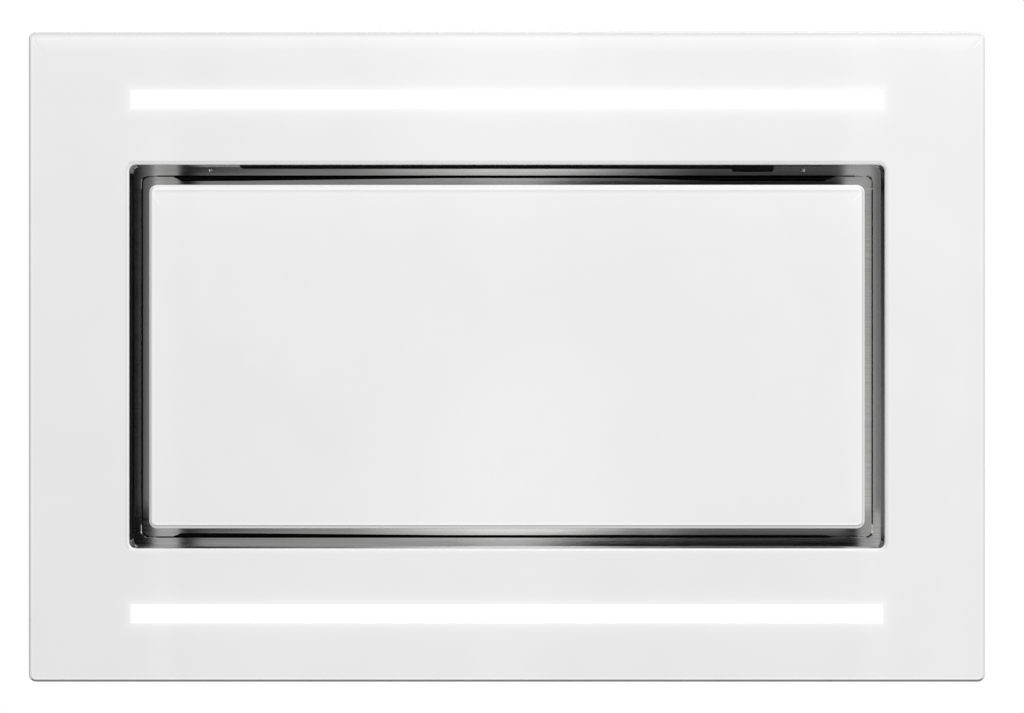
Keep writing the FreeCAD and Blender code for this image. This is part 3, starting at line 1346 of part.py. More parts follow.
def build_electrics():
    """Control box on the casing, with its board, light driver, terminals and cable gland."""
    place = {"x": "box_x", "y": "box_y"}
    box = new_body("control_box", z="casing_height", **place)
    sketch = new_sketch(box, "XY_Plane")
    rectangle(sketch, "box_width", "box_depth", corner="box_corner")
    pad(box, sketch, "box_height")
    sketch = new_sketch(box, "XY_Plane", "box_wall")
    rectangle(sketch, "box_width - 2 * box_wall", "box_depth - 2 * box_wall", corner="box_corner - box_wall")
    pocket(box, sketch, "box_height - box_wall")
    board_x = "control_place"
    for a in ("", "-"):
        for b in ("", "-"):
            sketch = new_sketch(box, "XY_Plane", "box_wall")
            circle(sketch, "post_radius", f"{board_x} + {a}(control_width / 2 - post_inset)",
                   f"{b}(control_depth / 2 - post_inset)")
            pad(box, sketch, "post_height")
    sketch = new_sketch(box, "YZ_Plane", "box_width / 2 - 2 * box_wall")
    circle(sketch, "gland_radius", "0", "gland_level")
    pocket(box, sketch, "4 * box_wall")
    publish("control_box", box)

    lid = new_body("control_lid", z="box_top", **place)
    sketch = new_sketch(lid, "XY_Plane")
    rectangle(sketch, "box_width", "box_depth", corner="box_corner")
    pad(lid, sketch, "lid_gauge")
    top = number("lid_gauge")
    round_edges(lid, "lid_edge", lambda edge: lies_at(edge, top))
    publish("control_lid", lid)

    board = new_body("control_board", z="board_low", **place)
    sketch = new_sketch(board, "XY_Plane")
    rectangle(sketch, "control_width", "control_depth", x=board_x)
    pad(board, sketch, "board_gauge")
    publish("control_board", board)

    driver = new_body("light_driver", z="box_floor", **place)
    sketch = new_sketch(driver, "XY_Plane")
    rectangle(sketch, "driver_width", "control_depth", x="driver_place", corner="driver_edge")
    pad(driver, sketch, "driver_height")
    publish("light_driver", driver)

    block = new_body("terminal_block", z="board_top", **place)
    sketch = new_sketch(block, "XY_Plane")
    rectangle(sketch, "terminal_width", "terminal_depth", x=board_x, y="terminal_place")
    pad(block, sketch, "terminal_height")
    pitch = "terminal_width / terminal_ways"
    sketch = new_sketch(block, "XY_Plane", "terminal_height / 2")
    circle(sketch, "terminal_hole", f"{board_x} - terminal_width / 2 + {pitch} / 2", "terminal_place")
    hole = pocket(block, sketch, "terminal_height")
    repeat_along(block, [hole], "X_Axis", f"terminal_width - {pitch}", "terminal_ways")
    publish("terminal_block", block)

    gland = new_body("cable_gland", x="box_x + box_width / 2", y="box_y", z="casing_height + gland_level")

    def hexagon(sketch):
        flat = "gland_hex"
        half = "gland_hex * sqrt(3) / 2"
        contour(sketch, [
            (f"-{flat}", "0"), (f"-{flat} / 2", f"-{half}"), (f"{flat} / 2", f"-{half}"),
            (flat, "0"), (f"{flat} / 2", half), (f"-{flat} / 2", half)])

    inside = "box_wall + gland_nut_height"
    sketch = new_sketch(gland, "YZ_Plane", f"-({inside})")
    circle(sketch, "gland_radius")
    pad(gland, sketch, inside)
    sketch = new_sketch(gland, "YZ_Plane")
    hexagon(sketch)
    pad(gland, sketch, "gland_hex_height")
    sketch = new_sketch(gland, "YZ_Plane", "gland_hex_height")
    circle(sketch, "gland_nose")
    pad(gland, sketch, "gland_nose_length")
    tip = number("gland_hex_height + gland_nose_length")
    round_edges(gland, "(gland_nose - gland_bore) / 2", lambda edge: abs(edge.BoundBox.XMin - tip) < 1e-4)
    sketch = new_sketch(gland, "YZ_Plane", "-box_wall")
    hexagon(sketch)
    pad(gland, sketch, "gland_nut_height", backward=True)
    sketch = new_sketch(gland, "YZ_Plane")
    circle(sketch, "gland_bore")
    pocket(gland, sketch, f"2 * ({inside} + gland_hex_height + gland_nose_length)", both_ways=True)
    publish("cable_gland", gland)


def check_model():
    """Stop if any feature failed, any cut removed nothing or any piece is not a sound solid."""
    for item in doc.Objects:
        if "Invalid" in item.State or "Error" in item.State:
            raise RuntimeError(f"{item.Name} ({item.Label}) did not build: {item.State}")
    for feature in cuts:
        if feature.Shape.Volume > feature.BaseFeature.Shape.Volume - 1e-3:
            raise RuntimeError(f"{feature.Name} removed nothing")
    for label, piece in nodes.items():
        if piece.Shape.isNull() or not piece.Shape.isValid() or not piece.Shape.Solids:
            raise RuntimeError(f"{label} has no sound shape")


def main():
    """Build every piece, check the model and write one file per piece."""
    for build in (build_frame, build_lights, build_recess, build_filters, build_panel, build_casing,
                  build_scroll, build_impeller, build_motor, build_outlet, build_electrics):
        build()
        doc.recompute()
    check_model()
    os.makedirs("parts", exist_ok=True)
    for label, piece in nodes.items():
        piece.Shape.exportStep(os.path.join("parts", label + ".step"))
    print(f"{len(nodes)} pieces, {sum(len(piece.Shape.Solids) for piece in nodes.values())} solids")


if __name__ == "__main__":
    main()
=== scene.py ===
"""Ceiling range hood: finishes, small fasteners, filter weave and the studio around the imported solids.

Metres. +Z is up, the ceiling plane is z = 0 and the origin is the middle of the ceiling flange.
X runs along the long side of the glass frame, and the photograph looks straight up at it.
"""

import json
import logging
import math
from dataclasses import dataclass
from enum import Enum
from typing import Sequence

import bmesh
import bpy
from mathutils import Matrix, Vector
from mathutils.bvhtree import BVHTree


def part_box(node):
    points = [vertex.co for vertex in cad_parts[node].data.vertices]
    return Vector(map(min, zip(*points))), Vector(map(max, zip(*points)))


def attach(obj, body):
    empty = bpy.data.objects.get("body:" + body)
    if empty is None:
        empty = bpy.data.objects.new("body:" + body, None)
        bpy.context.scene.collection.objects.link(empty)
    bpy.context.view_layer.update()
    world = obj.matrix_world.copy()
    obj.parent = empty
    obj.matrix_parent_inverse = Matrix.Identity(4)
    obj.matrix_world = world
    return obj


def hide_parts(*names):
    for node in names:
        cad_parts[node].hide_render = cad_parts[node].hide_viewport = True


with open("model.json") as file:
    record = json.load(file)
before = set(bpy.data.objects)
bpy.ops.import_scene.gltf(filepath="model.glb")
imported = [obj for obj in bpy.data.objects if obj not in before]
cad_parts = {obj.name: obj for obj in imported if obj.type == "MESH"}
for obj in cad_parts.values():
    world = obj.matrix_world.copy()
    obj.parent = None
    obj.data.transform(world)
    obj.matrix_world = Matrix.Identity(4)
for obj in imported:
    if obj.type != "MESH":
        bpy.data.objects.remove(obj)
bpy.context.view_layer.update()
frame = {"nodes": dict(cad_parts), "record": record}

LOG = logging.getLogger("hood")
MM = 0.001

# The search for a fastener's seat starts this far off the box of its piece.
STAND_OFF = 50.0 * MM

Colour = tuple[float, float, float]
Feeds = dict[str | int, object]
Lines = tuple[tuple[float, float], ...]
Socket = bpy.types.NodeSocket
Sockets = bpy.types.bpy_prop_collection

DOWN = Vector((0.0, 0.0, -1.0))
UP = Vector((0.0, 0.0, 1.0))


class Axis(Enum):
    """The level directions that pieces run along or face."""

    X = Vector((1.0, 0.0, 0.0))
    Y = Vector((0.0, 1.0, 0.0))


class Head(Enum):
    """Kinds of fastener head."""

    RIVET = "rivet"
    PAN_SCREW = "pan screw"
    HEX_SCREW = "hex screw"


class Wiring:
    """Adds and joins the nodes of one tree."""

    def __init__(self, tree: bpy.types.NodeTree) -> None:
        """Keep the tree that the nodes go into."""
        self.tree = tree

    def add(self, kind: str, feeds: Feeds | None = None, **settings: object) -> bpy.types.Node:
        """Add one node.

        Args:
            kind: The node type's name.
            feeds: Sockets or plain values for the inputs, by name or place.
            **settings: Properties of the node.

        Returns:
            The new node.
        """
        node = self.tree.nodes.new(kind)
        for name, value in settings.items():
            setattr(node, name, value)
        for place, value in (feeds or {}).items():
            self.feed(node.inputs[place], value)
        return node

    def feed(self, target: Socket, value: object) -> None:
        """Link a socket to the target, or set the target to a plain value.

        Args:
            target: The input that is fed.
            value: An output to link, or the plain value.
        """
        if isinstance(value, bpy.types.NodeSocket):
            self.tree.links.new(value, target)
        else:
            target.default_value = value

    def math(self, operation: str, first: object, second: object = 0.0) -> Socket:
        """Add a maths node and return its result."""
        return self.add("ShaderNodeMath", {0: first, 1: second}, operation=operation).outputs[0]

    def vector(self, operation: str, first: object, second: object = (0.0, 0.0, 0.0)) -> Socket:
        """Add a vector maths node and return its vector."""
        return self.add("ShaderNodeVectorMath", {0: first, 1: second}, operation=operation).outputs[0]

    def scaled(self, vector: object, factor: object) -> Socket:
        """Scale a vector or a colour and return the result."""
        return self.add("ShaderNodeVectorMath", {0: vector, "Scale": factor}, operation="SCALE").outputs[0]

    def length(self, vector: object) -> Socket:
        """Measure a vector and return its length."""
        return self.add("ShaderNodeVectorMath", {0: vector}, operation="LENGTH").outputs["Value"]

    def parts(self, vector: object) -> Sockets:
        """Split a vector and return its parts."""
        return self.add("ShaderNodeSeparateXYZ", {0: vector}).outputs

    def joined(self, x: object = 0.0, y: object = 0.0, z: object = 0.0) -> Socket:
        """Join three parts and return the vector."""
        return self.add("ShaderNodeCombineXYZ", {0: x, 1: y, 2: z}).outputs[0]

    def grey(self, value: Socket) -> Socket:
        """Turn a value into a grey and return the colour."""
        return self.add("ShaderNodeCombineColor", {0: value, 1: value, 2: value}).outputs[0]

    def remap(self, value: object, low: float, high: float, at_low: object, at_high: object) -> Socket:
        """Ease a value from one range to another.

        Args:
            value: The value to remap.
            low: Where the change starts.
            high: Where the change ends.
            at_low: The result at and below low.
            at_high: The result at and above high.

        Returns:
            The remapped value.
        """
        feeds = {"Value": value, "From Min": low, "From Max": high, "To Min": at_low, "To Max": at_high}
        return self.add("ShaderNodeMapRange", feeds, interpolation_type="SMOOTHSTEP").outputs[0]

    def blend(self, share: object, first: object, second: object) -> Socket:
        """Mix two colours and return the result."""
        feeds = {0: share, 6: opaque(first), 7: opaque(second)}
        return self.add("ShaderNodeMix", feeds, data_type="RGBA").outputs[2]

    def noise(self, place: object, scale: object, detail: float, roughness: float = 0.5) -> Socket:
        """Add a noise texture and return its value."""
        feeds = {"Vector": place, "Scale": scale, "Detail": detail, "Roughness": roughness}
        return self.add("ShaderNodeTexNoise", feeds).outputs[0]

    def ramp(self, value: Socket, stops: Sequence[tuple[float, float]]) -> Socket:
        """Look a value up in a row of greys.

        Args:
            value: The value to look up, from 0 to 1.
            stops: Places from 0 to 1 in order, each with its grey.

        Returns:
            The grey as a colour.
        """
        node = self.add("ShaderNodeValToRGB", {0: value})
        row = node.color_ramp.elements
        row.remove(row[1])
        for i, (at, grey) in enumerate(stops):
            stop = row[0] if i == 0 else row.new(at)
            stop.position = at
            stop.color = (grey, grey, grey, 1.0)
        return node.outputs[0]


def opaque(colour: object) -> object:
    """Give a plain three-part colour its fourth part, and pass anything else on.

    Args:
        colour: A plain colour or a socket.

    Returns:
        The four-part colour, or the socket as it was.
    """
    if isinstance(colour, tuple) and len(colour) == 3:
        return (*colour, 1.0)
    return colour


def emptied(holder: bpy.types.Material | bpy.types.World) -> Wiring:
    """Clear the nodes of a new material or world.

    Args:
        holder: The material or world.

    Returns:
        The wiring of its empty tree.
    """
    holder.use_nodes = True
    holder.node_tree.nodes.clear()
    return Wiring(holder.node_tree)


class Effects:
    """Shader node groups that several finishes share, each built once."""

    ORIGIN = (0.0, 0.0, 0.0)

    # A pair of detail is a noise's detail and its roughness. A span is the part of its range in use.
    GRAIN_TURN = 0.6
    GRAIN_DETAIL = (4.0, 0.7)
    GRAIN_SPAN = (0.25, 0.75)
    CRYSTAL_SHARE = 0.75
    RAGGED_SCALE = 260.0
    RAGGED_DETAIL = 3.0
    RAGGED_REACH = 6.0 * MM
    FEATHER_SCALE = 700.0
    FEATHER_DETAIL = 2.0
    SMUDGE_DETAIL = (4.0, 0.6)
    SMUDGE_SPAN = (0.35, 0.7)
    DUST_LEAN = (0.2, 0.95)
    DUST_SCALE = 28.0
    DUST_DETAIL = (5.0, 0.65)
    DUST_SPAN = (0.3, 0.75)
    DUST_LEAST = 0.25
    SKIN_DETAIL = (2.0, 0.6)
    CLOUD_SCALE = 14.0
    CLOUD_DETAIL = (3.0, 0.55)
    CLOUD_SPAN = (0.3, 0.7)

    # The line from a corner where the nearest side of a sheet changes is softened over this reach.
    RIM_TURN = 2.0 * MM

    # The glint is a painted highlight: a short pale slanting line in each front corner, painted into the
    # glass's colour.
    # Each pair is for the left and the right corner.
    GLINT_SLOPE = (1.66, 1.0)
    GLINT_SHIFT = (2.4 * MM, 4.7 * MM)
    GLINT_WIDTH = 1.6 * MM
    GLINT_START = 3.0 * MM
    GLINT_PEAK = 5.0 * MM
    GLINT_END = 16.0 * MM

    def __init__(self) -> None:
        """Build the groups."""
        self.grain = self._grain()
        self.spangle = self._spangle()
        self.smudge = self._smudge()
        self.dust = self._dust()
        self.skin = self._skin()
        self.rim = self._rim()

    @staticmethod
    def _group(name: str, inputs: dict[str, object],
               outputs: Sequence[str]) -> tuple[Wiring, Sockets, Sockets]:
        """Start a group.

        Args:
            name: The group's name.
            inputs: Each input's name with its starting value, a number or a vector.
            outputs: The names of the values that the group puts out.

        Returns:
            The group's wiring, its input sockets and its output sockets.
        """
        tree = bpy.data.node_groups.new(name, "ShaderNodeTree")
        for label, value in inputs.items():
            kind = "NodeSocketFloat" if isinstance(value, float) else "NodeSocketVector"
            tree.interface.new_socket(label, in_out="INPUT", socket_type=kind).default_value = value
        for label in outputs:
            tree.interface.new_socket(label, in_out="OUTPUT", socket_type="NodeSocketFloat")
        wiring = Wiring(tree)
        return wiring, wiring.add("NodeGroupInput").outputs, wiring.add("NodeGroupOutput").inputs

    def _grain(self) -> bpy.types.NodeTree:
        """Fine rolling or brushing lines along X, or along Y on a wall that faces X.

        Returns:
            The group.
        """
        w, given, out = self._group(
            "brushed grain", {"Place": self.ORIGIN, "Lines": 900.0, "Run": 6.0}, ("Tone", "Height"))
        normal = w.add("ShaderNodeTexCoord").outputs["Normal"]
        turned = w.math("GREATER_THAN", w.parts(w.vector("ABSOLUTE", normal))["X"], self.GRAIN_TURN)
        lines, run = given["Lines"], given["Run"]
        fine_x, fine_y = (
            w.noise(w.vector("MULTIPLY", given["Place"], scale), 1.0, *self.GRAIN_DETAIL)
            for scale in (w.joined(run, lines, lines), w.joined(lines, run, lines)))
        chosen = w.add("ShaderNodeMix", {0: turned, 2: fine_x, 3: fine_y}).outputs[0]
        w.feed(out["Tone"], w.remap(chosen, *self.GRAIN_SPAN, 0.0, 1.0))
        w.feed(out["Height"], chosen)
        return w.tree

    def _spangle(self) -> bpy.types.NodeTree:
        """Zinc crystals: patches of slightly different grey with ragged borders.

        Returns:
            The group.
        """
        w, given, out = self._group(
            "zinc spangle", {"Place": self.ORIGIN, "Crystals": 90.0}, ("Tone", "Height"))
        ragged = w.add("ShaderNodeTexNoise", {
            "Vector": given["Place"], "Scale": self.RAGGED_SCALE, "Detail": self.RAGGED_DETAIL})
        wobble = w.scaled(ragged.outputs["Color"], self.RAGGED_REACH)
        cells = w.add("ShaderNodeTexVoronoi", {
            "Vector": w.vector("ADD", given["Place"], wobble), "Scale": given["Crystals"]})
        tint = w.add("ShaderNodeSeparateColor", {0: cells.outputs["Color"]}).outputs
        feather = w.noise(given["Place"], self.FEATHER_SCALE, self.FEATHER_DETAIL)
        crystals = w.math("MULTIPLY", tint[0], self.CRYSTAL_SHARE)
        feathers = w.math("MULTIPLY", feather, 1.0 - self.CRYSTAL_SHARE)
        w.feed(out["Tone"], w.math("ADD", crystals, feathers))
        w.feed(out["Height"], tint[1])
        return w.tree

    def _smudge(self) -> bpy.types.NodeTree:
        """Broad patches left by handling and wiping.

        Returns:
            The group.
        """
        w, given, out = self._group("wiped patches", {"Place": self.ORIGIN, "Scale": 9.0}, ("Mask",))
        broad = w.noise(given["Place"], given["Scale"], *self.SMUDGE_DETAIL)
        w.feed(out["Mask"], w.remap(broad, *self.SMUDGE_SPAN, 0.0, 1.0))
        return w.tree

    def _dust(self) -> bpy.types.NodeTree:
        """A thin settling of dust on faces that look up.

        Returns:
            The group.
        """
        w, given, out = self._group("settled dust", {"Place": self.ORIGIN, "Amount": 0.2}, ("Mask",))
        normal = w.add("ShaderNodeTexCoord").outputs["Normal"]
        upward = w.remap(w.parts(normal)["Z"], *self.DUST_LEAN, 0.0, 1.0)
        spread = w.noise(given["Place"], self.DUST_SCALE, *self.DUST_DETAIL)
        patches = w.remap(spread, *self.DUST_SPAN, self.DUST_LEAST, 1.0)
        w.feed(out["Mask"], w.math("MULTIPLY", w.math("MULTIPLY", upward, patches), given["Amount"]))
        return w.tree

    def _skin(self) -> bpy.types.NodeTree:
        """The fine spark-eroded skin of moulded plastic and rubber, with a broad cloudy tone.

        Returns:
            The group.
        """
        w, given, out = self._group(
            "moulded skin", {"Place": self.ORIGIN, "Scale": 1400.0}, ("Tone", "Height"))
        w.feed(out["Height"], w.noise(given["Place"], given["Scale"], *self.SKIN_DETAIL))
        w.feed(out["Tone"], w.noise(given["Place"], self.CLOUD_SCALE, *self.CLOUD_DETAIL))
        return w.tree

    def _rim(self) -> bpy.types.NodeTree:
        """How deep a point lies inside an outline with round corners, its nearest side and its painted
        glint.

        Returns:
            The group.
        """
        w, given, out = self._group(
            "ground rim", {"Place": self.ORIGIN, "Half": (0.4, 0.3, 0.0), "Corner": 0.007},
            ("Depth", "Front", "Rear", "Glint"))
        flat = w.vector("MULTIPLY", given["Place"], (1.0, 1.0, 0.0))
        corner = given["Corner"]
        straight = w.vector("SUBTRACT", given["Half"], w.joined(corner, corner))
        past = w.vector("SUBTRACT", w.vector("ABSOLUTE", flat), straight)
        sides = w.parts(past)
        beyond = w.length(w.vector("MAXIMUM", past))
        within = w.math("MINIMUM", w.math("MAXIMUM", sides["X"], sides["Y"]), 0.0)
        w.feed(out["Depth"], w.math("SUBTRACT", w.math("SUBTRACT", corner, beyond), within))
        end = w.remap(w.math("SUBTRACT", sides["Y"], sides["X"]), -self.RIM_TURN, self.RIM_TURN, 0.0, 1.0)
        at = w.parts(flat)
        for label, way in (("Front", "LESS_THAN"), ("Rear", "GREATER_THAN")):
            w.feed(out[label], w.math("MULTIPLY", end, w.math(way, at["Y"], 0.0)))
        inset = w.math("SUBTRACT", corner, sides["X"])
        behind = w.math("SUBTRACT", corner, sides["Y"])
        w.feed(out["Glint"], self._glint(w, at, inset, behind))
        return w.tree

    def _glint(self, w: Wiring, at: Sockets, inset: Socket, behind: Socket) -> Socket:
        """A painted highlight: a short slanting line of light in each front corner of a sheet.

        Args:
            w: The group's wiring.
            at: The parts of the point's place.
            inset: How far the point lies inside the nearer of the two ends.
            behind: How far it lies inside the front or the rear edge.

        Returns:
            The line's strength, from 0 to 1.
        """
        slope, shift = (w.remap(at["X"], -MM, MM, *pair) for pair in (self.GLINT_SLOPE, self.GLINT_SHIFT))
        slant = w.math("SUBTRACT", behind, w.math("ADD", w.math("MULTIPLY", inset, slope), shift))
        line = w.remap(w.math("ABSOLUTE", slant), 0.0, self.GLINT_WIDTH, 1.0, 0.0)
        begun = w.remap(inset, self.GLINT_START, self.GLINT_PEAK, 0.0, 1.0)
        spent = w.remap(inset, self.GLINT_PEAK, self.GLINT_END, 1.0, 0.0)
        stretch = w.math("MULTIPLY", w.math("MULTIPLY", begun, spent), w.math("LESS_THAN", at["Y"], 0.0))
        return w.math("MULTIPLY", line, stretch)


@dataclass(frozen=True)
class Finish:
    """What every finish has: a name and a way to make its material."""

    name: str

    def make(self, effects: Effects) -> bpy.types.Material:
        """Make the material.

        Args:
            effects: The shared shader groups.

        Returns:
            The new material.
        """
        material = bpy.data.materials.new(self.name)
        w = emptied(material)
        surface = w.add("ShaderNodeBsdfPrincipled")
        w.add("ShaderNodeOutputMaterial", {"Surface": surface.outputs[0]})
        place = w.add("ShaderNodeTexCoord").outputs["Object"]
        self.wire(w, effects, surface, place)
        return material

    def wire(self, w: Wiring, effects: Effects, surface: bpy.types.Node, place: Socket) -> None:
        """Join the finish's own nodes to the surface.

        Args:
            w: The material's wiring.
            effects: The shared shader groups.
            surface: The material's shader.
            place: The point's place on the piece.
        """
        raise NotImplementedError

    @staticmethod
    def use(w: Wiring, tree: bpy.types.NodeTree, **feeds: object) -> Sockets:
        """Place a shared group.

        Args:
            w: The material's wiring.
            tree: The group.
            **feeds: Sockets or plain values for the group's inputs.

        Returns:
            The group's outputs.
        """
        node = w.add("ShaderNodeGroup", node_tree=tree)
        for label, value in feeds.items():
            w.feed(node.inputs[label], value)
        return node.outputs

    @staticmethod
    def emboss(w: Wiring, surface: bpy.types.Node, height: Socket, strength: float, depth: float) -> None:
        """Raise the surface by a height, as strongly and as deep as given."""
        bump = w.add("ShaderNodeBump", {"Strength": strength, "Distance": depth, "Height": height})
        w.feed(surface.inputs["Normal"], bump.outputs[0])


@dataclass(frozen=True)
class Metal(Finish):
    """Sheet, drawn or turned metal, with brushing, zinc crystals and dust as it needs them."""

    colour: Colour = (0.6, 0.6, 0.6)
    roughness: float = 0.3
    grain: float = 0.0
    lines: float = 900.0
    spangle: float = 0.0
    dust: float = 0.0
    depth: float = 0.05

    SMUDGE_SHADE = 0.03
    SMUDGE_HEIGHT = 0.02
    MARK_LIFT = 0.5
    MARK_POLISH = 0.12
    SHADE_ROUGH = 0.25
    BUMP_DEPTH = 0.4 * MM
    DUST_COLOUR = (0.46, 0.44, 0.41)
    DUST_ROUGH = 0.5

    def wire(self, w: Wiring, effects: Effects, surface: bpy.types.Node, place: Socket) -> None:
        """Join brushing, crystals and dust to colour, roughness and normal.

        Args:
            w: The material's wiring.
            effects: The shared shader groups.
            surface: The material's shader.
            place: The point's place on the piece.
        """
        surface.inputs["Metallic"].default_value = 1.0
        smudge = self.use(w, effects.smudge, Place=place)["Mask"]
        shade = w.math("MULTIPLY", smudge, self.SMUDGE_SHADE)
        height = w.math("MULTIPLY", smudge, self.SMUDGE_HEIGHT)
        for tree, amount, sizes in ((effects.grain, self.grain, {"Lines": self.lines}),
                                    (effects.spangle, self.spangle, {})):
            if amount:
                marks = self.use(w, tree, Place=place, **sizes)
                shade = w.math("ADD", shade, w.math("MULTIPLY", marks["Tone"], amount))
                height = w.math("ADD", height, w.math("MULTIPLY", marks["Height"], amount))
        total = self.grain + self.spangle
        tinted = w.scaled(self.colour, w.math("SUBTRACT", 1.0 + self.MARK_LIFT * total, shade))
        rougher = w.math("MULTIPLY", shade, self.SHADE_ROUGH)
        rough = w.math("ADD", self.roughness - self.MARK_POLISH * total, rougher)
        self.emboss(w, surface, height, self.depth, self.BUMP_DEPTH)
        if self.dust:
            dust = self.use(w, effects.dust, Place=place, Amount=self.dust)["Mask"]
            tinted = w.blend(dust, tinted, self.DUST_COLOUR)
            rough = w.math("ADD", rough, w.math("MULTIPLY", dust, self.DUST_ROUGH))
            w.feed(surface.inputs["Metallic"], w.math("SUBTRACT", 1.0, dust))
        w.feed(surface.inputs["Base Color"], tinted)
        w.feed(surface.inputs["Roughness"], rough)


@dataclass(frozen=True)
class Moulding(Finish):
    """Moulded plastic, rubber or tape."""

    colour: Colour = (0.05, 0.05, 0.05)
    roughness: float = 0.5
    skin: float = 0.2
    dust: float = 0.0
    shine: float = 0.5

    TONE_SWING = 0.06
    ROUGH_SWING = 0.05
    BUMP_DEPTH = 0.2 * MM
    DUST_COLOUR = (0.42, 0.40, 0.37)
    DUST_ROUGH = 0.4

    def wire(self, w: Wiring, effects: Effects, surface: bpy.types.Node, place: Socket) -> None:
        """Join the moulded skin and dust to colour, roughness and normal.

        Args:
            w: The material's wiring.
            effects: The shared shader groups.
            surface: The material's shader.
            place: The point's place on the piece.
        """
        surface.inputs["Specular IOR Level"].default_value = self.shine
        skin = self.use(w, effects.skin, Place=place)
        tone, rough = (
            w.remap(skin["Tone"], *effects.CLOUD_SPAN, middle - swing, middle + swing)
            for middle, swing in ((1.0, self.TONE_SWING), (self.roughness, self.ROUGH_SWING)))
        tinted = w.scaled(self.colour, tone)
        if self.dust:
            dust = self.use(w, effects.dust, Place=place, Amount=self.dust)["Mask"]
            tinted = w.blend(dust, tinted, self.DUST_COLOUR)
            rough = w.math("ADD", rough, w.math("MULTIPLY", dust, self.DUST_ROUGH))
        w.feed(surface.inputs["Base Color"], tinted)
        w.feed(surface.inputs["Roughness"], rough)
        self.emboss(w, surface, skin["Height"], self.skin, self.BUMP_DEPTH)


@dataclass(frozen=True)
class Rim:
    """One ground edge of a glass sheet, and the painted highlight and shade lines beside it.

    The lines are rows of depths from the edge in millimetres, each with a factor on the paint's colour
    there.
    Pale lines are painted highlights and grey lines painted shade of the round edge.
    """

    half: tuple[float, float]
    corner: float
    front: Lines
    sides: Lines
    rear: Lines
    outward: bool = False
    # How much the painted glint brightens the paint's colour.
    glint: float = 0.11

    REACH = 24.0

    def tone(self, w: Wiring, tree: bpy.types.NodeTree, place: Socket) -> Socket:
        """Wire the lines of the front, the two sides and the rear.

        Args:
            w: The wiring of the material.
            tree: The shared group that measures the depth.
            place: The point's place on the piece.

        Returns:
            The painted highlights and shade as a colour factor.
        """
        marks = Finish.use(w, tree, Place=place, Half=(*self.half, 0.0), Corner=self.corner)
        share = w.math("DIVIDE", marks["Depth"], (-MM if self.outward else MM) * self.REACH)
        tone = w.blend(marks["Front"], self._row(w, share, self.sides), self._row(w, share, self.front))
        tone = w.blend(marks["Rear"], tone, self._row(w, share, self.rear))
        # The glint is a painted highlight that brightens the colour.
        return w.scaled(tone, w.math("ADD", 1.0, w.math("MULTIPLY", marks["Glint"], self.glint)))

    def _row(self, w: Wiring, share: Socket, lines: Lines) -> Socket:
        """The painted highlights and shade along one side."""
        return w.ramp(share, [(depth / self.REACH, tone) for depth, tone in lines])


@dataclass(frozen=True)
class WhiteGlass(Finish):
    """Clear sheet glass painted white behind, with polished round edges.

    Beside each round edge, pale and grey lines are painted into the colour as the edge's highlights and
    shade.
    A painted glow, which the glass emits, stands in for light from a window in the sheet spreading a
    little into it, and a painted highlight makes the paint a touch paler along the front edge.
    """

    colour: Colour = (0.87, 0.87, 0.87)
    roughness: float = 0.05
    front: float = 0.0
    # A painted highlight makes the paint paler near the front edge, fading inwards over its reach.
    front_highlight: float = 0.045
    front_highlight_reach: float = 28.0 * MM
    rims: tuple[Rim, ...] = ()
    # The window, and the strength and reach of the painted glow that the glass emits round it.
    window_centre: float = 0.0
    window_size: tuple[float, float] = (0.0, 0.0)
    glow: float = 0.0
    glow_reach: float = 5.0 * MM

    SMEAR_TONE = 0.985
    SMEAR_ROUGH = 0.04

    def wire(self, w: Wiring, effects: Effects, surface: bpy.types.Node, place: Socket) -> None:
        """Join the painted edge lines, the painted front highlight, wiping marks and the painted window
        glow to the surface.

        Args:
            w: The material's wiring.
            effects: The shared shader groups.
            surface: The material's shader.
            place: The point's place on the piece.
        """
        smudge = self.use(w, effects.smudge, Place=place)["Mask"]
        # Painted highlight: the colour is paler near the front edge and fades inwards.
        behind = w.math("SUBTRACT", w.parts(place)["Y"], self.front)
        painted_front_highlight = w.math("EXPONENT", w.math("DIVIDE", behind, -self.front_highlight_reach))
        wiped = w.remap(smudge, 0.0, 1.0, 1.0, self.SMEAR_TONE)
        face = w.scaled(self.colour, w.math("ADD", wiped, w.math("MULTIPLY", painted_front_highlight, self.front_highlight)))
        # Each rim paints its edge's highlights and shade into the colour.
        for rim in self.rims:
            face = w.vector("MULTIPLY", face, rim.tone(w, effects.rim, place))
        w.feed(surface.inputs["Base Color"], face)
        rough = w.remap(smudge, 0.0, 1.0, self.roughness, self.roughness + self.SMEAR_ROUGH)
        w.feed(surface.inputs["Roughness"], rough)
        # The glass emits a painted glow round the windows, as if their light spread into the sheet.
        if self.glow:
            w.feed(surface.inputs["Emission Color"], self._spread_light(w, place))
            surface.inputs["Emission Strength"].default_value = self.glow

    def _spread_light(self, w: Wiring, place: Socket) -> Socket:
        """The painted glow: light that fades with the distance from the nearer window.

        Args:
            w: The material's wiring.
            place: The point's place on the piece.

        Returns:
            The light as a grey.
        """
        at = w.parts(w.vector("ABSOLUTE", place))
        wide, deep = self.window_size
        beside = w.math("MAXIMUM", w.math("SUBTRACT", at["X"], wide / 2), 0.0)
        off = w.math("ABSOLUTE", w.math("SUBTRACT", at["Y"], self.window_centre))
        above = w.math("MAXIMUM", w.math("SUBTRACT", off, deep / 2), 0.0)
        far = w.length(w.joined(beside, above))
        return w.grey(w.math("EXPONENT", w.math("DIVIDE", far, -self.glow_reach)))


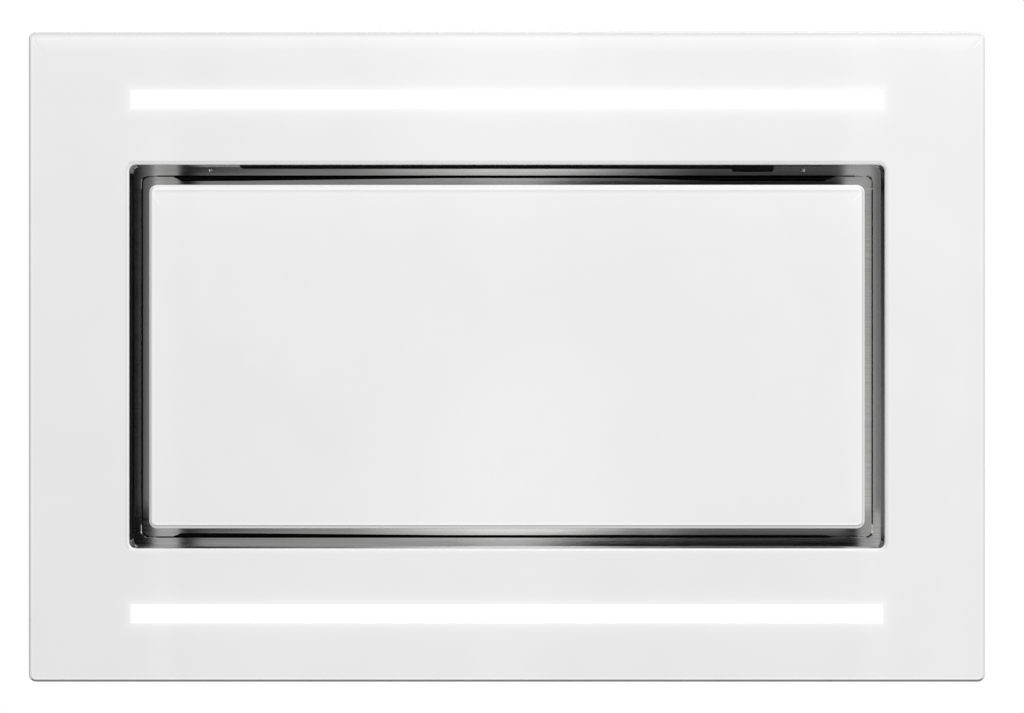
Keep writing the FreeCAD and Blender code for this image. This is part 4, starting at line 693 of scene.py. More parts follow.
@dataclass(frozen=True)
class Opal(Finish):
    """Opal plastic over a row of diodes: slightly cloudy, even light."""

    colour: Colour = (0.60, 0.60, 0.595)
    strength: float = 0.58
    roughness: tuple[float, float] = (0.35, 0.45)

    CLOUDED = 0.95

    def wire(self, w: Wiring, effects: Effects, surface: bpy.types.Node, place: Socket) -> None:
        """Join a faint cloudiness to the emitted light.

        Args:
            w: The material's wiring.
            effects: The shared shader groups.
            surface: The material's shader.
            place: The point's place on the piece.
        """
        cloud = self.use(w, effects.skin, Place=place)["Tone"]
        lit = w.remap(cloud, *effects.CLOUD_SPAN, self.CLOUDED, 1.0)
        w.feed(surface.inputs["Emission Color"], w.grey(lit))
        surface.inputs["Base Color"].default_value = opaque(self.colour)
        surface.inputs["Emission Strength"].default_value = self.strength
        w.feed(surface.inputs["Roughness"], w.remap(cloud, *effects.CLOUD_SPAN, *self.roughness))


@dataclass(frozen=True)
class CircuitBoard(Finish):
    """Solder mask over copper tracks."""

    colour: Colour = (0.02, 0.13, 0.06)
    track_colour: Colour = (0.05, 0.22, 0.10)
    roughness: tuple[float, float] = (0.3, 0.42)

    TRACK_SCALE = 60.0
    TRACK_WIDTH = 0.06
    TRACK_EDGE = 0.2
    TRACK_RISE = 0.3
    BUMP_DEPTH = 0.1 * MM

    def wire(self, w: Wiring, effects: Effects, surface: bpy.types.Node, place: Socket) -> None:
        """Join a maze of tracks to colour and normal.

        Args:
            w: The material's wiring.
            effects: The shared shader groups.
            surface: The material's shader.
            place: The point's place on the piece.
        """
        mask = opaque(self.colour)
        tracks = w.add("ShaderNodeTexBrick", {
            "Vector": place, "Scale": self.TRACK_SCALE, "Mortar Size": self.TRACK_WIDTH,
            "Mortar Smooth": self.TRACK_EDGE,
            "Color1": mask, "Color2": mask, "Mortar": opaque(self.track_colour)}).outputs
        cloud = self.use(w, effects.skin, Place=place)["Tone"]
        w.feed(surface.inputs["Base Color"], tracks["Color"])
        w.feed(surface.inputs["Roughness"], w.remap(cloud, *effects.CLOUD_SPAN, *self.roughness))
        self.emboss(w, surface, tracks["Fac"], self.TRACK_RISE, self.BUMP_DEPTH)


STAINLESS = Metal("polished_stainless", (0.60, 0.60, 0.595), 0.042, grain=0.16, lines=1600.0)
DARK_STEEL = Metal("black_passivated_steel", (0.055, 0.055, 0.06), 0.40, grain=0.10, lines=700.0)
GALVANISED = Metal("galvanised_sheet", (0.62, 0.63, 0.64), 0.36, grain=0.08, lines=300.0,
                   spangle=0.22, dust=0.18, depth=0.10)
ZINC_STEEL = Metal("zinc_plated_steel", (0.56, 0.56, 0.545), 0.42, grain=0.10, lines=700.0, dust=0.05)
ALUMINIUM = Metal("drawn_aluminium", (0.74, 0.75, 0.76), 0.32, grain=0.12, lines=1100.0,
                  dust=0.05, depth=0.06)
MOTOR_STEEL = Metal("laminated_motor_steel", (0.30, 0.30, 0.31), 0.42, grain=0.25, lines=1800.0,
                    depth=0.10)
BLOWER_STEEL = Metal("blower_steel", (0.55, 0.56, 0.57), 0.34, grain=0.08, spangle=0.12,
                     dust=0.08, depth=0.08)
FOIL = Metal("filter_foil", (0.70, 0.71, 0.72), 0.34, grain=0.15, lines=2600.0, depth=0.12)
FASTENER = Metal("bright_fastener", (0.66, 0.66, 0.645), 0.34, grain=0.06, dust=0.04, depth=0.04)
RIVET = Metal("polished_rivet", (0.82, 0.82, 0.81), 0.20, grain=0.05, depth=0.03)
CARRIER_PAINT = Moulding("white_powder_coat", (0.78, 0.78, 0.77), 0.42, skin=0.35, dust=0.08)
TAPE = Moulding("black_bond_tape", (0.03, 0.03, 0.03), 0.75, skin=0.5)
GREY_PLASTIC = Moulding("grey_moulding", (0.30, 0.31, 0.32), 0.48, skin=0.25, dust=0.10)
BLACK_PLASTIC = Moulding("black_moulding", (0.022, 0.022, 0.023), 0.42, skin=0.25, dust=0.10)
WHITE_PLASTIC = Moulding("white_moulding", (0.74, 0.74, 0.72), 0.40, skin=0.2, dust=0.12)
RUBBER = Moulding("black_rubber", (0.010, 0.010, 0.010), 0.7, skin=0.5, shine=0.2)
# The black of the bead that stands in for the dark line of shade in the fold: painted shade.
FOLD_SHADE_BLACK = Moulding("black_fold_shade", (0.006, 0.006, 0.006), 0.6, skin=0.2, shine=0.2)
OPAL = Opal("opal_diffuser")
BOARD = CircuitBoard("circuit_board")

SLOT_FINISH: dict[str, Finish] = {
    "tape": TAPE, "carrier_steel": CARRIER_PAINT, "opal": OPAL,
    "aluminium": ALUMINIUM, "circuit_board": BOARD, "stainless": STAINLESS, "galvanised": GALVANISED,
    "mesh": FOIL, "zinc_steel": ZINC_STEEL, "grey_plastic": GREY_PLASTIC, "black_plastic": BLACK_PLASTIC,
    "white_plastic": WHITE_PLASTIC, "black_rubber": RUBBER, "motor_steel": MOTOR_STEEL,
    "blower_steel": BLOWER_STEEL,
}


class Shop:
    """Makes each finish once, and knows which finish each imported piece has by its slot."""

    def __init__(self) -> None:
        """Build the shared effects and read the slots from the record."""
        self.effects = Effects()
        self.slots = {row["node"]: row["material_slot"] for row in frame["record"]["subparts"]}
        self._made: dict[Finish, bpy.types.Material] = {}

    def material(self, finish: Finish) -> bpy.types.Material:
        """Return a finish's material, made at its first use.

        Args:
            finish: The finish.

        Returns:
            Its material.
        """
        if finish not in self._made:
            self._made[finish] = finish.make(self.effects)
        return self._made[finish]

    def dress(self, node: str, finish: Finish | None = None) -> None:
        """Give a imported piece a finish.

        Args:
            node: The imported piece.
            finish: Its finish, or nothing for the one of its slot.
        """
        chosen = finish or SLOT_FINISH[self.slots[node]]
        frame["nodes"][node].material_slots[0].material = self.material(chosen)
        LOG.info("%s: %s", node, chosen.name)

    def hand_in(self, piece: bpy.types.Object, body: str) -> None:
        """Say how a finished piece goes into the hood.

        Args:
            piece: The piece.
            body: The body that it rides on.
        """
        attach(piece, body)
        LOG.info("%s: %d faces on %s", piece.name, len(piece.data.polygons), body)


def piece_from(name: str, mesh: bpy.types.Mesh) -> bpy.types.Object:
    """Put a mesh in the scene as an object at the origin.

    Args:
        name: The object's name.
        mesh: Its mesh.

    Returns:
        The new object.
    """
    piece = bpy.data.objects.new(name, mesh)
    bpy.context.scene.collection.objects.link(piece)
    return piece


def skinned(name: str, rings: Sequence[Sequence[Vector]]) -> bpy.types.Mesh:
    """Close a row of rings into one mesh.

    Args:
        name: The mesh's name.
        rings: Rings of points, each with the same count.

    Returns:
        The closed mesh, with its faces outwards.
    """
    shape = bmesh.new()
    rows = [[shape.verts.new(point) for point in ring] for ring in rings]
    for one, two in zip(rows, rows[1:]):
        for i in range(len(one)):
            j = (i + 1) % len(one)
            shape.faces.new((one[i], one[j], two[j], two[i]))
    shape.faces.new(reversed(rows[0]))
    shape.faces.new(rows[-1])
    bmesh.ops.recalc_face_normals(shape, faces=shape.faces)
    mesh = bpy.data.meshes.new(name)
    shape.to_mesh(mesh)
    shape.free()
    return mesh


def start_tree(name: str, inputs: dict[str, str]) -> tuple[Wiring, Sockets]:
    """Start a geometry tree.

    Args:
        name: The tree's name.
        inputs: Each input's name with the kind of its socket.

    Returns:
        The tree's wiring and its input sockets.
    """
    tree = bpy.data.node_groups.new(name, "GeometryNodeTree")
    for label, kind in inputs.items():
        tree.interface.new_socket(label, in_out="INPUT", socket_type=f"NodeSocket{kind}")
    tree.interface.new_socket("Pieces", in_out="OUTPUT", socket_type="NodeSocketGeometry")
    w = Wiring(tree)
    return w, w.add("NodeGroupInput").outputs


def end_tree(w: Wiring, shape: Socket, finish: Socket) -> bpy.types.NodeTree:
    """End a geometry tree in real meshes of one finish.

    Args:
        w: The tree's wiring.
        shape: What the tree has made.
        finish: The input that gives the finish.

    Returns:
        The whole tree.
    """
    real = w.add("GeometryNodeRealizeInstances", {0: shape})
    done = w.add("GeometryNodeSetMaterial", {"Geometry": real.outputs[0], "Material": finish})
    w.add("NodeGroupOutput", {0: done.outputs[0]})
    return w.tree


def grown(name: str, source: bpy.types.Object, tree: bpy.types.NodeTree,
          values: dict[str, object]) -> bpy.types.Object:
    """Run an object through a geometry tree and keep the result as one plain piece.

    Args:
        name: The new piece's name.
        source: The object that the tree starts from, which is removed afterwards.
        tree: The geometry tree.
        values: Values for the tree's named inputs.

    Returns:
        The plain piece.
    """
    modifier = source.modifiers.new("growth", "NODES")
    modifier.node_group = tree
    sockets = {item.name: item.identifier for item in tree.interface.items_tree}
    for label, value in values.items():
        modifier[sockets[label]] = value
    graph = bpy.context.evaluated_depsgraph_get()
    mesh = bpy.data.meshes.new_from_object(source.evaluated_get(graph), depsgraph=graph)
    mesh.name = name
    bpy.data.objects.remove(source)
    return piece_from(name, mesh)


def value_at(stops: Lines, place: float) -> float:
    """Read a row of places and values at a place, in a straight line between two of them.

    Args:
        stops: Places in order, each with its value.
        place: The place to read at.

    Returns:
        The value there, or that of the nearer end beyond the row.
    """
    for (here, one), (there, two) in zip(stops, stops[1:]):
        if here <= place <= there:
            return one + (two - one) * (place - here) / (there - here)
    return stops[0][1] if place < stops[0][0] else stops[-1][1]


def full_turn(count: int, offset: float = 0.0) -> list[float]:
    """Angles spread evenly over a full turn, moved on by a share of their spacing."""
    return [2.0 * math.pi * (i + offset) / count for i in range(count)]


def level_way(angle: float) -> Vector:
    """The level direction at an angle from X."""
    return Vector((math.cos(angle), math.sin(angle), 0.0))


class Surfaces:
    """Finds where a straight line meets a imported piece."""

    def __init__(self) -> None:
        """Start with no search trees."""
        self._trees: dict[str, BVHTree] = {}

    def landing(self, node: str, start: Vector, way: Vector) -> tuple[Vector, Vector]:
        """Find the first point of a piece along a line.

        Args:
            node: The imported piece.
            start: Where the line starts.
            way: The line's direction.

        Returns:
            The point and the outward normal there.
        """
        if node not in self._trees:
            mesh = frame["nodes"][node].data
            corners = [vertex.co for vertex in mesh.vertices]
            faces = [tuple(face.vertices) for face in mesh.polygons]
            self._trees[node] = BVHTree.FromPolygons(corners, faces)
        point, normal, _, _ = self._trees[node].ray_cast(start, way)
        if point is None:
            raise ValueError(f"no surface of {node} from {tuple(start)}")
        return point, normal if normal.dot(way) < 0 else -normal


@dataclass(frozen=True)
class Spot:
    """One fastener: the piece it is driven into and the line that it is driven along."""

    node: str
    start: Vector
    way: Vector


@dataclass
class FastenerSet:
    """Fasteners of one kind on one body, repeated over their spots."""

    name: str
    head: Head
    radius: float
    height: float
    body: str = "hood"

    SIDES = 16
    FLANGE_LEVEL = 0.2
    CROSS_REACH = 0.5
    CROSS_WAIST = 0.45

    # Reach and level of each ring from the seat to the top, at a radius and height of one.
    PROFILES = {
        Head.RIVET: ((1.0, 0.0), (1.0, 0.25), (0.8, 0.72), (0.45, 0.97), (0.28, 1.0), (0.24, 0.75)),
        Head.PAN_SCREW: ((1.0, 0.0), (1.0, 0.4), (0.9, 0.75), (0.7, 0.95), (0.5, 1.0), (0.2, 0.45)),
        Head.HEX_SCREW: ((1.0, 0.0), (1.0, 0.15), (0.78, 0.25), (0.78, 0.9), (0.68, 1.0)),
    }

    def build(self, shop: Shop, surfaces: Surfaces, spots: Sequence[Spot],
              finish: Finish = FASTENER) -> None:
        """Make the set as one plain piece.

        Args:
            shop: Where the finish comes from.
            surfaces: Finds the seat of each fastener.
            spots: Where the fasteners go.
            finish: Their metal.
        """
        seats = [surfaces.landing(spot.node, spot.start, spot.way) for spot in spots]
        mesh = bpy.data.meshes.new(self.name)
        mesh.from_pydata([point for point, _ in seats], [], [])
        facing = mesh.attributes.new("facing", "FLOAT_VECTOR", "POINT")
        facing.data.foreach_set("vector", [part for _, normal in seats for part in normal])
        pattern = piece_from(f"{self.name}_pattern", self._head_mesh())
        source = piece_from(f"{self.name}_seats", mesh)
        piece = grown(self.name, source, self._tree(), {
            "Pattern": pattern, "Radius": self.radius, "Height": self.height,
            "Finish": shop.material(finish)})
        bpy.data.objects.remove(pattern)
        shop.hand_in(piece, self.body)

    @staticmethod
    def _tree() -> bpy.types.NodeTree:
        """Instances of the head pattern on the seats, turned to face outwards.

        Returns:
            The geometry tree.
        """
        w, given = start_tree("fasteners", {
            "Seats": "Geometry", "Pattern": "Object", "Radius": "Float", "Height": "Float",
            "Finish": "Material"})
        pattern = w.add("GeometryNodeObjectInfo", {"Object": given["Pattern"]})
        facing = w.add("GeometryNodeInputNamedAttribute", {"Name": "facing"}, data_type="FLOAT_VECTOR")
        turn = w.add("FunctionNodeAlignRotationToVector", {"Vector": facing.outputs[0]}, axis="Z")
        placed = w.add("GeometryNodeInstanceOnPoints", {
            "Points": given["Seats"], "Instance": pattern.outputs["Geometry"],
            "Rotation": turn.outputs[0],
            "Scale": w.joined(given["Radius"], given["Radius"], given["Height"])})
        return end_tree(w, placed.outputs[0], given["Finish"])

    def _head_mesh(self) -> bpy.types.Mesh:
        """The head at a radius and height of one, closed underneath.

        Returns:
            The head's mesh.
        """
        rings = [[self._rim_point(i, reach, level) for i in range(self.SIDES)]
                 for reach, level in self.PROFILES[self.head]]
        return skinned(f"{self.name}_head", rings)

    def _rim_point(self, step: int, reach: float, level: float) -> Vector:
        """A point of one ring of the head, drawn in to a hexagon or a cross where the head has one.

        Args:
            step: Which point of the ring.
            reach: The ring's distance from the middle.
            level: The ring's height over the seat.

        Returns:
            The point.
        """
        angle = 2.0 * math.pi * step / self.SIDES
        if self.head is Head.HEX_SCREW and level > self.FLANGE_LEVEL:
            sector = math.pi / 3.0
            lean = (angle % sector) - sector / 2.0
            reach = reach * math.cos(sector / 2.0) / math.cos(lean)
        if self.head is Head.PAN_SCREW and reach <= self.CROSS_REACH:
            reach = reach * (1.0 if step % (self.SIDES // 4) == 0 else self.CROSS_WAIST)
        return Vector((reach * math.cos(angle), reach * math.sin(angle), level))


@dataclass
class GlassFront:
    """What the photograph shows: the glass frame, its two lit windows and the swing-down panel."""

    # Strength and reach of the painted glow that the frame glass emits round its windows.
    glow: float = 0.10
    glow_reach: float = 5.2 * MM
    shoulder: float = 3.25 * MM
    frame_corner: float = 7.0 * MM
    opening_corner: float = 6.0 * MM
    panel_corner: float = 7.5 * MM
    opening_half: tuple[float, float] = (355.6 * MM, 180.5 * MM)

    # Depths from each edge in millimetres, with a factor on the paint's colour there.
    # The factors paint the round edge's highlights and shade as pale and grey lines, different at the
    # front, the sides and the rear with how the light falls on them.
    PLATE_FRONT = ((0.0, 0.70), (2.2, 0.80), (4.2, 1.0), (6.5, 1.06), (20.0, 1.0))
    PLATE_SIDES = ((0.0, 0.80), (1.2, 0.70), (2.2, 0.95), (3.0, 1.05), (5.5, 1.0))
    PLATE_REAR = ((0.0, 0.35), (1.2, 0.15), (2.3, 0.85), (3.2, 1.15), (4.4, 1.0))
    OPENING_FRONT = ((0.0, 1.14), (1.6, 1.14), (2.3, 0.84), (3.2, 0.80), (4.2, 1.0))
    OPENING_SIDES = ((0.0, 1.0), (0.9, 1.0), (2.0, 0.90), (2.8, 0.88), (3.8, 1.0))
    OPENING_REAR = ((0.0, 0.90), (1.0, 0.92), (3.0, 1.04), (5.0, 1.0))
    PANEL_FRONT = ((0.0, 0.78), (2.2, 0.92), (3.2, 1.12), (4.1, 1.10), (5.6, 0.87), (7.8, 1.0))
    PANEL_SIDES = ((0.0, 1.0), (0.8, 0.98), (1.4, 0.60), (2.2, 0.70), (3.3, 1.05), (5.5, 1.0))
    PANEL_REAR = ((0.0, 1.14), (1.4, 1.14), (2.0, 0.56), (3.0, 0.56), (3.8, 1.14), (5.2, 1.03),
                  (6.5, 1.0))

    def build(self, shop: Shop) -> None:
        """Dress the glass and the lights.

        Args:
            shop: Where the finishes come from.
        """
        low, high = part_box("rear_light_lens")
        window = (high.x - low.x, high.y - low.y - 2 * self.shoulder)
        plate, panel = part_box("frame_glass")[1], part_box("panel_glass")[1]
        outer = Rim((plate.x, plate.y), self.frame_corner,
                    self.PLATE_FRONT, self.PLATE_SIDES, self.PLATE_REAR)
        inner = Rim(self.opening_half, self.opening_corner,
                    self.OPENING_FRONT, self.OPENING_SIDES, self.OPENING_REAR, outward=True)
        edge = Rim((panel.x, panel.y), self.panel_corner,
                   self.PANEL_FRONT, self.PANEL_SIDES, self.PANEL_REAR)
        shop.dress("frame_glass", WhiteGlass(
            "white_frame_glass", front=-plate.y, rims=(outer, inner),
            window_centre=(low.y + high.y) / 2, window_size=window,
            glow=self.glow, glow_reach=self.glow_reach))
        shop.dress("panel_glass", WhiteGlass("white_panel_glass", front=-panel.y, rims=(edge,)))
        for node in ("front_light_lens", "rear_light_lens", "frame_bond", "panel_bond",
                     "frame_carrier", "front_light_channel", "rear_light_channel", "light_boards"):
            shop.dress(node)


@dataclass
class SwingPanel:
    """The tray behind the panel's glass, with its hinge arms, pins and strike plates."""

    screw_inset: float = 12.0 * MM
    screw_radius: float = 3.2 * MM
    screw_height: float = 1.8 * MM
    screw_places: tuple[float, float] = (0.18, 0.45)

    def build(self, shop: Shop, surfaces: Surfaces) -> None:
        """Dress the pieces and screw the arms to the tray.

        Args:
            shop: Where the finishes come from.
            surfaces: Finds the seats of the screws.
        """
        for node in ("panel_pan", "panel_arms", "panel_pins", "panel_strikes"):
            shop.dress(node)
        low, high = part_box("panel_arms")
        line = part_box("hinge_brackets")[1].x - self.screw_inset
        reach, above = high.y - low.y, high.z + STAND_OFF
        spots = [Spot("panel_arms", Vector((side * line, low.y + share * reach, above)), DOWN)
                 for side in (-1, 1) for share in self.screw_places]
        screws = FastenerSet("arm_screws", Head.PAN_SCREW, self.screw_radius, self.screw_height, "panel")
        screws.build(shop, surfaces, spots)


@dataclass
class Recess:
    """The polished surround of the slot, the deck above it, the hinges, the catches and the filters."""

    cell_width: float = 9.0 * MM
    cell_depth: float = 5.5 * MM
    strand: float = 0.9 * MM
    strand_flatness: float = 0.7
    crimp_pitch: float = 6.0 * MM
    crimp_height: float = 1.3 * MM
    crimp_steps: int = 6
    foil_gauge: float = 0.3 * MM
    # The strips are painted shade: black strips standing in for dark lines of shade along the front and
    # left walls.
    front_strip_half: float = 252.0 * MM
    left_strip_half: float = 173.0 * MM
    strip_level: float = 20.0 * MM
    strip_height: float = 8.0 * MM
    strip_lip: float = 2.2 * MM
    strip_taper: float = 2.0 * MM
    strip_end: float = 0.5
    stop_start: float = 214.0 * MM
    stop_lip: float = 5.0 * MM
    stop_taper: float = 1.0 * MM
    stop_end: float = 0.8
    bead_radius: float = 1.0 * MM
    bead_half: float = 338.0 * MM
    bead_depth: float = 163.0 * MM
    bead_drop: float = 0.4 * MM
    bead_steps: int = 80
    bead_corner_steps: int = 6
    bead_sides: int = 8
    bead_seat: float = 0.8
    side_bead: float = 0.35
    rivet_place: float = 280.0 * MM
    rivet_setback: float = 14.5 * MM
    frame_rivet_inset: float = 5.0 * MM
    rivet_radius: float = 2.3 * MM
    rivet_height: float = 1.2 * MM
    rivet_search_level: float = -100.0 * MM
    bracket_width: float = 28.6 * MM
    screw_radius: float = 3.2 * MM
    screw_height: float = 1.6 * MM
    screw_search_drop: float = 12.0 * MM

    # A strip's section: shares of how far it stands out and of half its height.
    STRIP_SECTION = ((0.0, -1.0), (0.6, -1.0), (0.9, -0.8), (1.0, -0.4),
                     (1.0, 0.4), (0.9, 0.8), (0.6, 1.0), (0.0, 1.0))

    # Places along X in millimetres, each with the bead's thickness there as a share of its radius.
    BEAD_FRONT = ((-315.0, 0.12), (-309.0, 2.4), (-250.0, 2.2), (-60.0, 0.8), (120.0, 0.8), (200.0, 2.4),
                  (300.0, 2.4), (312.0, 0.12))
    BEAD_REAR = ((-315.0, 0.12), (-309.0, 1.9), (-250.0, 1.7), (-60.0, 0.8), (300.0, 0.8), (312.0, 0.12))

    def build(self, shop: Shop, surfaces: Surfaces) -> None:
        """Dress the pieces, weave the filters, lay the bead and the strips and set the rivets.

        Args:
            shop: Where the finishes come from.
            surfaces: Finds the walls and the seats of the fasteners.
        """
        for node in ("recess_surround", "filter_deck", "left_filter_frame", "right_filter_frame",
                     "left_filter_latch", "right_filter_latch", "catch_magnets"):
            shop.dress(node)
        shop.dress("hinge_brackets", DARK_STEEL)
        shop.dress("catch_holders", DARK_STEEL)
        for side in ("left", "right"):
            self._weave(shop, side)
            self._foil(shop, side)
        self._bead(shop, surfaces)
        self._strips(shop, surfaces)
        self._rivets(shop, surfaces)

    def _weave(self, shop: Shop, side: str) -> None:
        """Two layers of expanded metal in place of one filter's plain slab.

        Args:
            shop: Where the foil comes from.
            side: Which filter, left or right.
        """
        low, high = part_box(f"{side}_filter_mesh")
        source = piece_from(f"{side}_weave_source", bpy.data.meshes.new("weave"))
        piece = grown(f"{side}_filter_weave", source, self._weave_tree(), {
            "Columns": int((high.x - low.x) / self.cell_width),
            "Rows": int((high.y - low.y) / self.cell_depth),
            "Cell Width": self.cell_width, "Cell Depth": self.cell_depth,
            "Strand": self.strand, "Flatness": self.strand_flatness,
            "Middle": ((low.x + high.x) / 2, (low.y + high.y) / 2, low.z + self.strand),
            "Layer Gap": high.z - low.z - 2 * self.strand, "Finish": shop.material(FOIL)})
        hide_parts(f"{side}_filter_mesh")
        shop.hand_in(piece, "hood")

    @staticmethod
    def _weave_tree() -> bpy.types.NodeTree:
        """Diamond cells on a grid, in two layers.

        Returns:
            The geometry tree.
        """
        w, given = start_tree("expanded metal", {
            "Columns": "Int", "Rows": "Int", "Cell Width": "Float", "Cell Depth": "Float",
            "Strand": "Float", "Flatness": "Float", "Layer Gap": "Float", "Middle": "Vector",
            "Finish": "Material"})
        wide = w.math("MULTIPLY", w.math("SUBTRACT", given["Columns"], 1.0), given["Cell Width"])
        deep = w.math("MULTIPLY", w.math("SUBTRACT", given["Rows"], 1.0), given["Cell Depth"])
        grid = w.add("GeometryNodeMeshGrid", {
            "Size X": wide, "Size Y": deep, "Vertices X": given["Columns"], "Vertices Y": given["Rows"]})
        half_depth = w.math("MULTIPLY", given["Cell Depth"], 0.5)
        cell = w.add("GeometryNodeCurvePrimitiveQuadrilateral", {
            "Width": given["Cell Width"], "Bottom Height": half_depth, "Top Height": half_depth},
            mode="KITE")
        thickness = w.math("MULTIPLY", given["Strand"], given["Flatness"])
        section = w.add("GeometryNodeCurvePrimitiveQuadrilateral", {
            "Width": given["Strand"], "Height": thickness}, mode="RECTANGLE")
        ring = w.add("GeometryNodeCurveToMesh", {
            "Curve": cell.outputs[0], "Profile Curve": section.outputs[0]})
        layer = w.add("GeometryNodeInstanceOnPoints", {
            "Points": grid.outputs[0], "Instance": ring.outputs[0]})
        lower = w.add("GeometryNodeTransform", {
            "Geometry": layer.outputs[0], "Translation": given["Middle"]})
        upper = w.add("GeometryNodeTransform", {
            "Geometry": lower.outputs[0], "Translation": w.joined(z=given["Layer Gap"])})
        both = w.add("GeometryNodeJoinGeometry")
        for part in (lower, upper):
            w.feed(both.inputs[0], part.outputs[0])
        return end_tree(w, both.outputs[0], given["Finish"])

    def _foil(self, shop: Shop, side: str) -> None:
        """The crimped foil between a filter's two layers.

        Args:
            shop: Where the foil comes from.
            side: Which filter, left or right.
        """
        low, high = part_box(f"{side}_filter_mesh")
        steps = self.crimp_steps * int((high.x - low.x) / self.crimp_pitch)
        middle = (low.z + high.z) / 2
        section = ((low.y, 0.0), (high.y, 0.0), (high.y, self.foil_gauge), (low.y, self.foil_gauge))
        rings = []
        for i in range(steps + 1):
            x = low.x + (high.x - low.x) * i / steps
            z = middle + self.crimp_height * math.sin(2.0 * math.pi * (x - low.x) / self.crimp_pitch)
            rings.append([Vector((x, y, z + up)) for y, up in section])
        mesh = skinned(f"{side}_filter_foil", rings)
        mesh.materials.append(shop.material(FOIL))
        shop.hand_in(piece_from(f"{side}_filter_foil", mesh), "hood")

    def _strips(self, shop: Shop, surfaces: Surfaces) -> None:
        """Black rubber strips on the front and left walls, the front one with a wide stop at its right.
        They are painted shade, standing in for the dark lines of shade along those walls.

        Args:
            shop: Where the rubber comes from.
            surfaces: Finds the walls.
        """
        lip, taper, end = self.strip_lip, self.strip_taper, self.strip_end * self.strip_lip
        half, start, stop = self.front_strip_half, self.stop_start, self.stop_lip
        outline = ((-half, end), (taper - half, lip), (start - self.stop_taper, lip),
                   (start, stop), (half - self.stop_taper, stop), (half, self.stop_end * stop))
        self._strip(shop, surfaces, "front_strip", Axis.X.value, Axis.Y.value, outline)
        half = self.left_strip_half
        outline = ((-half, end), (taper - half, lip), (half - taper, lip), (half, end))
        self._strip(shop, surfaces, "left_strip", Axis.Y.value, Axis.X.value, outline)

    def _strip(self, shop: Shop, surfaces: Surfaces, name: str, run: Vector, out: Vector,
               outline: Lines) -> None:
        """Make one black rubber strip against a wall of the surround, standing in for a dark line of shade
        there.

        Args:
            shop: Where the rubber comes from.
            surfaces: Finds the wall.
            name: The piece's name.
            run: The way that the strip runs.
            out: The way that it stands out of the wall.
            outline: Places along the strip, each with how far it stands out there.
        """
        level = UP * (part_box("frame_glass")[1].z + self.strip_level)
        wall, _ = surfaces.landing("recess_surround", level, -out)
        half = self.strip_height / 2
        rings = [[wall + run * place + out * (share * lip) + UP * (half * up)
                  for share, up in self.STRIP_SECTION]
                 for place, lip in outline]
        mesh = skinned(name, rings)
        mesh.materials.append(shop.material(RUBBER))
        shop.hand_in(piece_from(name, mesh), "hood")

    def _bead(self, shop: Shop, surfaces: Surfaces) -> None:
        """A black bead of uneven thickness where the deck meets the step, on the front, the left and the
        rear.
        It is painted shade, standing in for the dark line of shade in that fold.

        Args:
            shop: Where the bead's black finish comes from.
            surfaces: Finds the wall that the bead lies on.
        """
        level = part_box("filter_deck")[0].z - self.bead_drop
        points, sizes = [], []
        for x, y, angle, size in self._bead_casts():
            start = Vector((x, y, level))
            wall, inward = surfaces.landing("recess_surround", start, level_way(angle))
            points.append(wall + inward * (self.bead_seat * size * self.bead_radius))
            sizes.append(size)
        mesh = bpy.data.meshes.new("bead_line")
        mesh.from_pydata(points, [(i, i + 1) for i in range(len(points) - 1)], [])
        mesh.attributes.new("thickness", "FLOAT", "POINT").data.foreach_set("value", sizes)
        piece = grown("recess_sealant", piece_from("bead_source", mesh), self._bead_tree(), {
            "Radius": self.bead_radius, "Sides": self.bead_sides, "Finish": shop.material(FOLD_SHADE_BLACK)})
        shop.hand_in(piece, "hood")

    def _bead_casts(self) -> list[tuple[float, float, float, float]]:
        """Where the bead is looked for, from the right end of the front to the right end of the rear.

        Returns:
            For each point, a place inside the step, the angle to look along and the bead's thickness.
        """
        half, deep, quarter = self.bead_half, self.bead_depth, math.pi / 2
        shares = [step / self.bead_steps for step in range(-self.bead_steps, self.bead_steps + 1)]
        turn = [quarter * step / self.bead_corner_steps for step in range(1, self.bead_corner_steps)]
        front = [(-half * share, -deep, -quarter, value_at(self.BEAD_FRONT, -half * share / MM))
                 for share in shares]
        front_corner = [(-half, -deep, -quarter - angle, self.side_bead) for angle in turn]
        left = [(-half, deep * share, -2 * quarter, self.side_bead) for share in shares]
        rear_corner = [(-half, deep, 2 * quarter - angle, self.side_bead) for angle in turn]
        rear = [(half * share, deep, quarter, value_at(self.BEAD_REAR, half * share / MM))
                for share in shares]
        return front + front_corner + left + rear_corner + rear

    @staticmethod
    def _bead_tree() -> bpy.types.NodeTree:
        """A round bead along a line, as thick as the line's own points say.

        Returns:
            The geometry tree.
        """
        w, given = start_tree("fold shade bead", {
            "Line": "Geometry", "Radius": "Float", "Sides": "Int", "Finish": "Material"})
        line = w.add("GeometryNodeMeshToCurve", {0: given["Line"]})
        section = w.add("GeometryNodeCurvePrimitiveCircle", {
            "Resolution": given["Sides"], "Radius": given["Radius"]})
        thickness = w.add("GeometryNodeInputNamedAttribute", {"Name": "thickness"}, data_type="FLOAT")
        bead = w.add("GeometryNodeCurveToMesh", {
            "Curve": line.outputs[0], "Profile Curve": section.outputs[0], "Scale": thickness.outputs[0],
            "Fill Caps": True})
        return end_tree(w, bead.outputs[0], given["Finish"])

